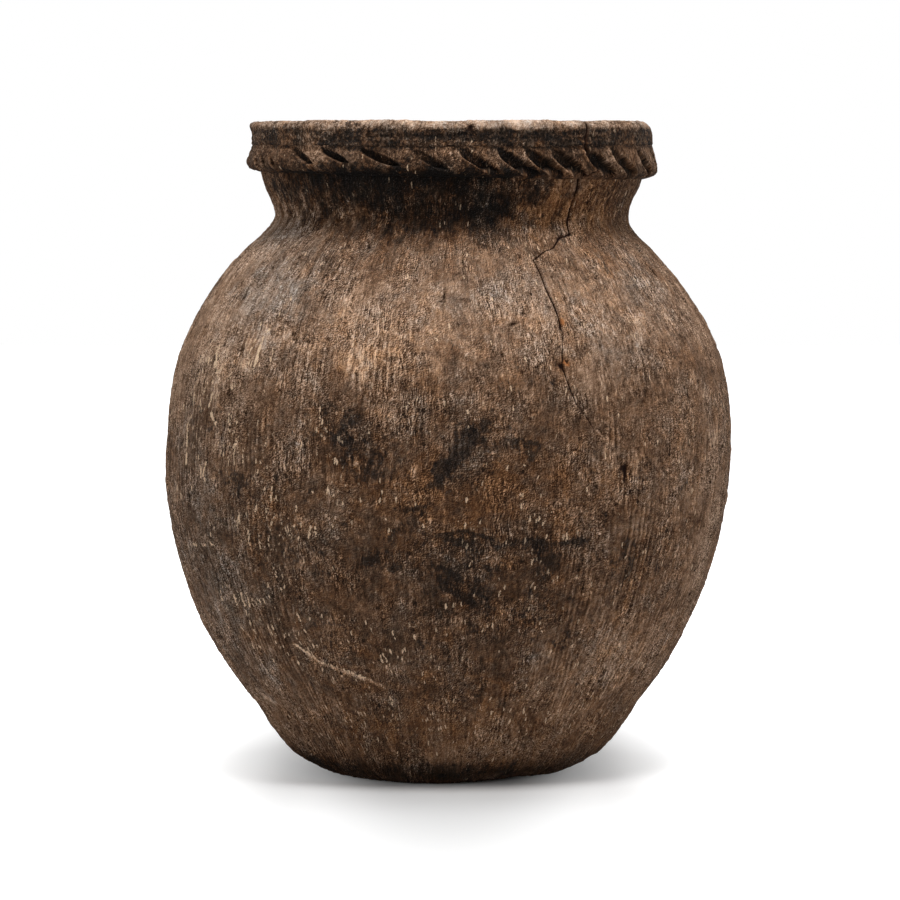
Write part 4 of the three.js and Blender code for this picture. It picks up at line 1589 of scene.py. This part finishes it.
class ClayWorks:
    """Makes the shared clay group and a material for each finish."""

    def __init__(self) -> None:
        """Build the group once."""
        self.group = self._clay_group()

    def _clay_group(self) -> bpy.types.NodeTree:
        """Group that turns the mesh's masks into the clay's colour, roughness and height.

        Returns:
            The node group.
        """
        group = bpy.data.node_groups.new("scraped_clay", "ShaderNodeTree")
        for way, kind, names in (
            ("INPUT", "Float", ("Lightness", "Smoke", "Grit", "Crust")),
            ("INPUT", "Vector", ("Weave", "Comb")),
            ("OUTPUT", "Color", ("Color",)),
            ("OUTPUT", "Float", ("Roughness", "Height")),
        ):
            for name in names:
                group.interface.new_socket(name, in_out=way, socket_type=f"NodeSocket{kind}")
        wire = Wiring(group)
        given = wire.node("NodeGroupInput").outputs
        result = wire.node("NodeGroupOutput").inputs
        skin = ClaySkin.woven(wire, given["Weave"], given["Comb"])
        crusted = wire.product(given["Crust"], wire.scaled(skin.bare_and_highlight, -0.6, 1.0, clamp=True))
        crusted = wire.product(wire.maths("SUBTRACT", skin.crust, 0.5), crusted)
        tone = self._tone(wire, skin, wire.total(given["Lightness"], crusted), given["Grit"])
        colour = self._cast(wire, skin, wire.ramp(tone, CLAY_TONES))
        wire.feed(result["Color"], self._stain(wire, skin, colour, given["Smoke"]))
        wire.feed(result["Roughness"], wire.scaled(skin.mottle, -0.2, 1.0))
        wire.feed(result["Height"], wire.total(
            wire.centred(skin.streaks, 0.6), wire.centred(skin.grain, 0.4), wire.centred(skin.lumps, 0.9),
            wire.product(wire.centred(skin.combs, 0.6), skin.combed),
            wire.product(skin.pits, -0.25), wire.product(skin.seams, -0.15),
        ))
        return group

    def _tone(self, wire: Wiring, skin: ClaySkin, lightness: object, grit: object) -> Socket:
        """Sum of everything that makes the clay paler or darker, from 0 to 1.

        Ridges are paler and grooves darker, more so where the wall was combed, partly as wear
        and dirt and partly as painted light and shade on the relief. The fine marks are stronger
        in some patches than in others.

        Args:
            wire: the group's wiring.
            skin: the noise fields.
            lightness: the finish's own shift.
            grit: strength of the fine marks.

        Returns:
            The tone.
        """
        worked = wire.scaled(skin.combed, 0.7, 0.3)
        worn = wire.scaled(skin.rubbed, 0.16, wire.product(skin.bare_and_highlight, 0.18))
        fine = wire.product(grit, wire.total(
            wire.product(wire.centred(wire.ease(skin.streaks, 0.36, 0.64), 0.12), worked),
            wire.product(wire.centred(wire.ease(skin.combs, 0.34, 0.66), 0.09), skin.combed),
            wire.centred(skin.grain, 0.52),
            # painted light and shade on the grain: lighter on its lit side
            wire.product(skin.rise, 1.1),
            wire.centred(skin.flake, 0.06),
            wire.product(skin.seams, -0.09),
            wire.product(skin.pits, -0.24),
            wire.product(skin.specks, 0.2),
            wire.product(skin.scratches, wire.scaled(skin.combed, -0.16, -0.09)),
            # painted highlight along one side of each scratch
            wire.product(skin.edges, wire.scaled(skin.combed, 0.15, 0.05)),
        ))
        spread = wire.scaled(skin.bare_and_highlight, -0.6, 1.1, clamp=True)
        uneven = wire.scaled(wire.maths("SUBTRACT", skin.coarse, 0.5), spread, 1.0)
        calm = wire.maths("MAXIMUM", wire.scaled(skin.bare_and_highlight, -0.5, 1.0), 0.6)
        patches = wire.total(wire.centred(skin.lumps, 0.24), wire.centred(skin.mottle, 0.34),
                             wire.centred(skin.blot, 0.36))
        shade = wire.product(skin.shade, wire.scaled(skin.blot, 1.2, 0.4))
        bare_and_highlight = wire.product(skin.bare_and_highlight, wire.scaled(skin.mottle, 1.4, 0.3))
        return wire.total(
            MIDDLE_TONE,
            lightness,
            wire.product(fine, uneven),
            # paler tops on the streaks, partly wear and partly painted highlight
            wire.product(wire.ease(skin.streaks, 0.57, 0.68), worn),
            wire.product(patches, calm),
            wire.centred(skin.cloud, 0.22),
            # the mesh's relief: ridges paler and grooves and pits darker, partly wear and dirt, partly
            # painted light and shade
            wire.product(wire.maths("MAXIMUM", skin.relief, -0.8), 0.17),
            wire.product(bare_and_highlight, 0.24),
            # painted shade from the shade mask, painted light where it is negative
            wire.product(shade, -0.2),
        )

    def _cast(self, wire: Wiring, skin: ClaySkin, colour: object) -> Socket:
        """Warm and cool the clay in patches, and redden it where it is freshly chipped.

        Args:
            wire: the group's wiring.
            skin: the noise fields.
            colour: the plain clay.

        Returns:
            The cast clay.
        """
        patches = wire.total(wire.centred(skin.tinge, 1.2), wire.centred(skin.mottle, 1.2),
                             wire.centred(skin.rust, 1.5))
        patches = wire.product(patches, wire.scaled(skin.shade, 0.9, 0.65))
        warmth = wire.total(0.52, patches, wire.product(skin.ochre, 0.5), wire.product(skin.ash_and_sheen, -0.45))
        warmth = wire.maths("MULTIPLY", warmth, 1.0, clamp=True)
        colour = wire.times(colour, wire.mix(warmth, COOL_CAST, WARM_CAST))
        fresh = wire.ease(wire.total(skin.ochre, wire.centred(skin.grain, 0.8)), 0.5, 0.8)
        return wire.mix(fresh, colour, FRESH_CLAY)

    def _stain(self, wire: Wiring, skin: ClaySkin, colour: object, smoke: object) -> Socket:
        """Add soot, which sits in the grooves, pale nicks, dark pits and the crack.

        The soot has a painted sheen on the lit side of the grain, and it is heavier where the
        shade mask paints shade. Pits and the crack's gap are painted black as shade. Beside the
        crack the clay is rusty.

        Args:
            wire: the group's wiring.
            skin: the noise fields.
            colour: the clay.
            smoke: the finish's own soot.

        Returns:
            The stained clay.
        """
        # soot gathers where the shade mask is high, so painted shade also darkens here as soot
        edge = wire.total(
            wire.product(skin.soot, 0.74), wire.product(skin.shade, 0.3), wire.centred(skin.mottle, 2.4),
            wire.centred(skin.blot, 1.7), wire.centred(skin.grain, 1.4), wire.centred(skin.lumps, 1.4),
            wire.centred(skin.streaks, -0.9), wire.product(skin.bare_and_highlight, -0.3), smoke,
        )
        soot = wire.product(wire.ease(edge, 0.42, 0.78), 0.94)
        # painted sheen on the lit side of the grain, over the soot
        black = wire.mix(wire.ease(skin.rise, 0.08, 0.24), wire.times(colour, SOOT_TINT), PAINTED_SOOT_SHEEN)
        colour = wire.mix(soot, colour, black)
        drawn = wire.total(skin.fleck, wire.centred(skin.grain, 2.6), wire.centred(skin.streaks, 2.0),
                           wire.centred(skin.crust, 1.2))
        nicked = wire.product(skin.dashes, wire.ease(skin.grain, 0.34, 0.5))
        nicked = wire.maths("MAXIMUM", nicked, wire.ease(drawn, 1.8, 2.0))
        colour = wire.mix(wire.product(nicked, wire.scaled(soot, -0.5, 0.95)), colour, RUBBED_CREAM)
        # pits and deep hollows are painted black as shade
        sunk = wire.ease(wire.total(skin.relief, wire.centred(skin.lumps, 1.2)), -1.25, -1.6)
        colour = wire.mix(wire.product(sunk, 0.85), colour, PAINTED_GAP_SHADE)
        offset = wire.total(wire.maths("ABSOLUTE", skin.crack), wire.centred(skin.grain, 0.15))
        half = wire.product(skin.gape, 0.5)
        stained = wire.ease(offset, wire.total(half, 1.4), wire.product(half, 0.5))
        stained = wire.product(stained, wire.ease(half, 0.1, 0.5))
        colour = wire.mix(wire.product(stained, 0.45), colour, CRACK_RUST)
        # the crack's gap is painted black as shade
        split = wire.ease(offset, wire.total(half, 0.15), wire.product(half, 0.7))
        return wire.mix(wire.product(split, wire.ease(half, 0.03, 0.2)), colour, PAINTED_GAP_SHADE)

    def clay(self, finish: ClayFinish) -> Clay:
        """Make one finish's material, for the record's slot that the finish names."""
        made = bpy.data.materials.new(f"smoked_{finish.slot}")
        made.use_nodes = True
        wire = Wiring(made.node_tree)
        shader = made.node_tree.nodes["Principled BSDF"]
        clay = wire.node("ShaderNodeGroup", node_tree=self.group)
        for name in ("lightness", "smoke", "weave", "comb", "grit", "crust"):
            clay.inputs[name.capitalize()].default_value = getattr(finish, name)
        bump = wire.node("ShaderNodeBump")
        wire.fed(bump, ("Strength", "Distance", "Height"), (1.0, BUMP_DEPTH, clay.outputs["Height"]))
        wire.fed(shader, ("Base Color", "Roughness", "Normal", "Specular IOR Level"),
                 (clay.outputs["Color"], clay.outputs["Roughness"], bump.outputs[0], SPECULAR))
        return Clay(finish.slot, made)


@dataclass(frozen=True)
class Softbox:
    """A square lamp: its place and side in metres, and its power in watts."""

    name: str
    place: tuple[float, float, float]
    side: float
    power: float


SOFTBOXES = (
    Softbox("key_softbox", (0.15, -0.85, 1.85), 0.6, 24.0),
    Softbox("top_softbox", (0.1, 0.1, 1.9), 1.0, 12.0),
    Softbox("left_softbox", (-2.0, -0.9, 0.9), 0.8, 8.0),
    Softbox("right_softbox", (2.1, -0.5, 0.9), 0.8, 5.0),
)


@dataclass(frozen=True)
class Studio:
    """Camera, lamps, floor and white background, in metres."""

    eye: tuple[float, float, float] = (0.0, -3.3, 0.405)
    target: tuple[float, float, float] = (0.0012, 0.0, 0.197)
    lens: float = 213.8
    lamp_target: tuple[float, float, float] = (0.0, 0.0, 0.2)
    shadow: tuple[float, float, float] = (1 / 0.1, 1 / 0.55, 1.0)
    floor_reach: float = 6.0

    def build(self) -> None:
        """Set up the camera, lights, floor and world."""
        self._camera()
        for softbox in SOFTBOXES:
            self._lamp(softbox)
        self._floor()
        self._world()

    def _aimed(self, name: str, data: bpy.types.ID, place: tuple[float, float, float],
               target: tuple[float, float, float]) -> bpy.types.Object:
        """Add a camera or a lamp at a place, aimed at a target."""
        made = bpy.data.objects.new(name, data)
        made.location = place
        aim = Vector(target) - Vector(place)
        made.rotation_euler = aim.to_track_quat("-Z", "Y").to_euler()
        bpy.context.scene.collection.objects.link(made)
        return made

    def _camera(self) -> None:
        """Place the camera at the photograph's viewing angle."""
        data = bpy.data.cameras.new("camera")
        data.lens = self.lens
        data.sensor_width = 36.0
        data.clip_end = 50.0
        bpy.context.scene.camera = self._aimed("camera", data, self.eye, self.target)

    def _lamp(self, softbox: Softbox) -> None:
        """Add a softbox aimed at the jar."""
        data = bpy.data.lights.new(softbox.name, "AREA")
        data.energy = softbox.power
        data.size = softbox.side
        self._aimed(softbox.name, data, softbox.place, self.lamp_target)

    def _floor(self) -> None:
        """Add a pale floor that keeps the jar's shadow and is white to the camera.

        To the camera the floor also glows, more with the distance from the jar, which counts
        0.1 m across and 0.55 m front to back as one. The glow is stronger to both sides of
        the jar, but not in front of it.
        """
        mesh = bpy.data.meshes.new("floor")
        reach = self.floor_reach
        corners = [(-reach, -reach, 0.0), (reach, -reach, 0.0), (reach, reach, 0.0), (-reach, reach, 0.0)]
        mesh.from_pydata(corners, [], [(0, 1, 2, 3)])
        made = bpy.data.materials.new("studio_floor")
        made.use_nodes = True
        wire = Wiring(made.node_tree)
        place = wire.stretch(wire.node("ShaderNodeTexCoord").outputs["Object"], self.shadow)
        away = wire.node("ShaderNodeVectorMath", operation="LENGTH")
        wire.feed(away.inputs[0], place)
        near = wire.product(wire.ease(away.outputs["Value"], 0.35, 0.95), 0.28)
        lift = wire.scaled(wire.ease(away.outputs["Value"], 0.95, 1.85), 0.7, near)
        across = wire.node("ShaderNodeSeparateXYZ")
        wire.feed(across.inputs[0], place)
        beside = wire.product(wire.ease(wire.maths("ABSOLUTE", across.outputs["X"]), 0.8, 1.2),
                              wire.ease(across.outputs["Y"], -0.24, -0.06))
        lift = wire.scaled(beside, 0.2, lift)
        seen = wire.product(wire.node("ShaderNodeLightPath").outputs["Is Camera Ray"], lift)
        wire.fed(made.node_tree.nodes["Principled BSDF"],
                 ("Base Color", "Roughness", "Emission Color", "Emission Strength"),
                 ((0.7, 0.7, 0.7, 1.0), 0.9, (1.0, 1.0, 1.0, 1.0), seen))
        mesh.materials.append(made)
        floor = bpy.data.objects.new("floor", mesh)
        bpy.context.scene.collection.objects.link(floor)

    def _world(self) -> None:
        """White background to the camera, soft pale light on the jar."""
        world = bpy.data.worlds.new("studio")
        bpy.context.scene.world = world
        world.use_nodes = True
        wire = Wiring(world.node_tree)
        rays = wire.node("ShaderNodeLightPath").outputs
        seen = wire.maths("MAXIMUM", rays["Is Camera Ray"], rays["Is Glossy Ray"])
        seen = wire.maths("MAXIMUM", seen, rays["Is Transmission Ray"])
        wire.fed(world.node_tree.nodes["Background"], ("Color", "Strength"),
                 ((1.0, 1.0, 1.0, 1.0), wire.scaled(seen, 0.82, 0.18)))


@dataclass(frozen=True)
class Jar:
    """The whole jar: builds each piece in order in its own clay."""

    works: ClayWorks

    def build(self) -> None:
        """Build every piece from the ground up."""
        clay = {finish.slot: self.works.clay(finish) for finish in FINISHES}
        BaseSlab().build(clay["base_clay"])
        HeelRing().build(clay["heel_clay"])
        Course("lower_ring", FORM.heel, FORM.lower, 1.4).build(clay["lower_clay"])
        Course("belly_ring", FORM.lower, FORM.belly, 1.25).build(clay["belly_clay"])
        Course("upper_ring", FORM.belly, FORM.upper, 1.3).build(clay["upper_clay"])
        Course("shoulder_ring", FORM.upper, FORM.shoulder, 1.2).build(clay["shoulder_clay"])
        Course("neck_ring", FORM.shoulder, FORM.neck, 1.0, 4).build(clay["neck_clay"])
        Collar().build(clay["collar_clay"])
        Cordon().build(clay["cordon_clay"])
        Lip().build(clay["lip_clay"])


def main() -> None:
    """Build the jar and its studio."""
    logging.basicConfig(level=logging.INFO)
    bpy.context.scene.view_settings.view_transform = "Standard"
    Jar(ClayWorks()).build()
    Studio().build()


if __name__ == "__main__":
    main()
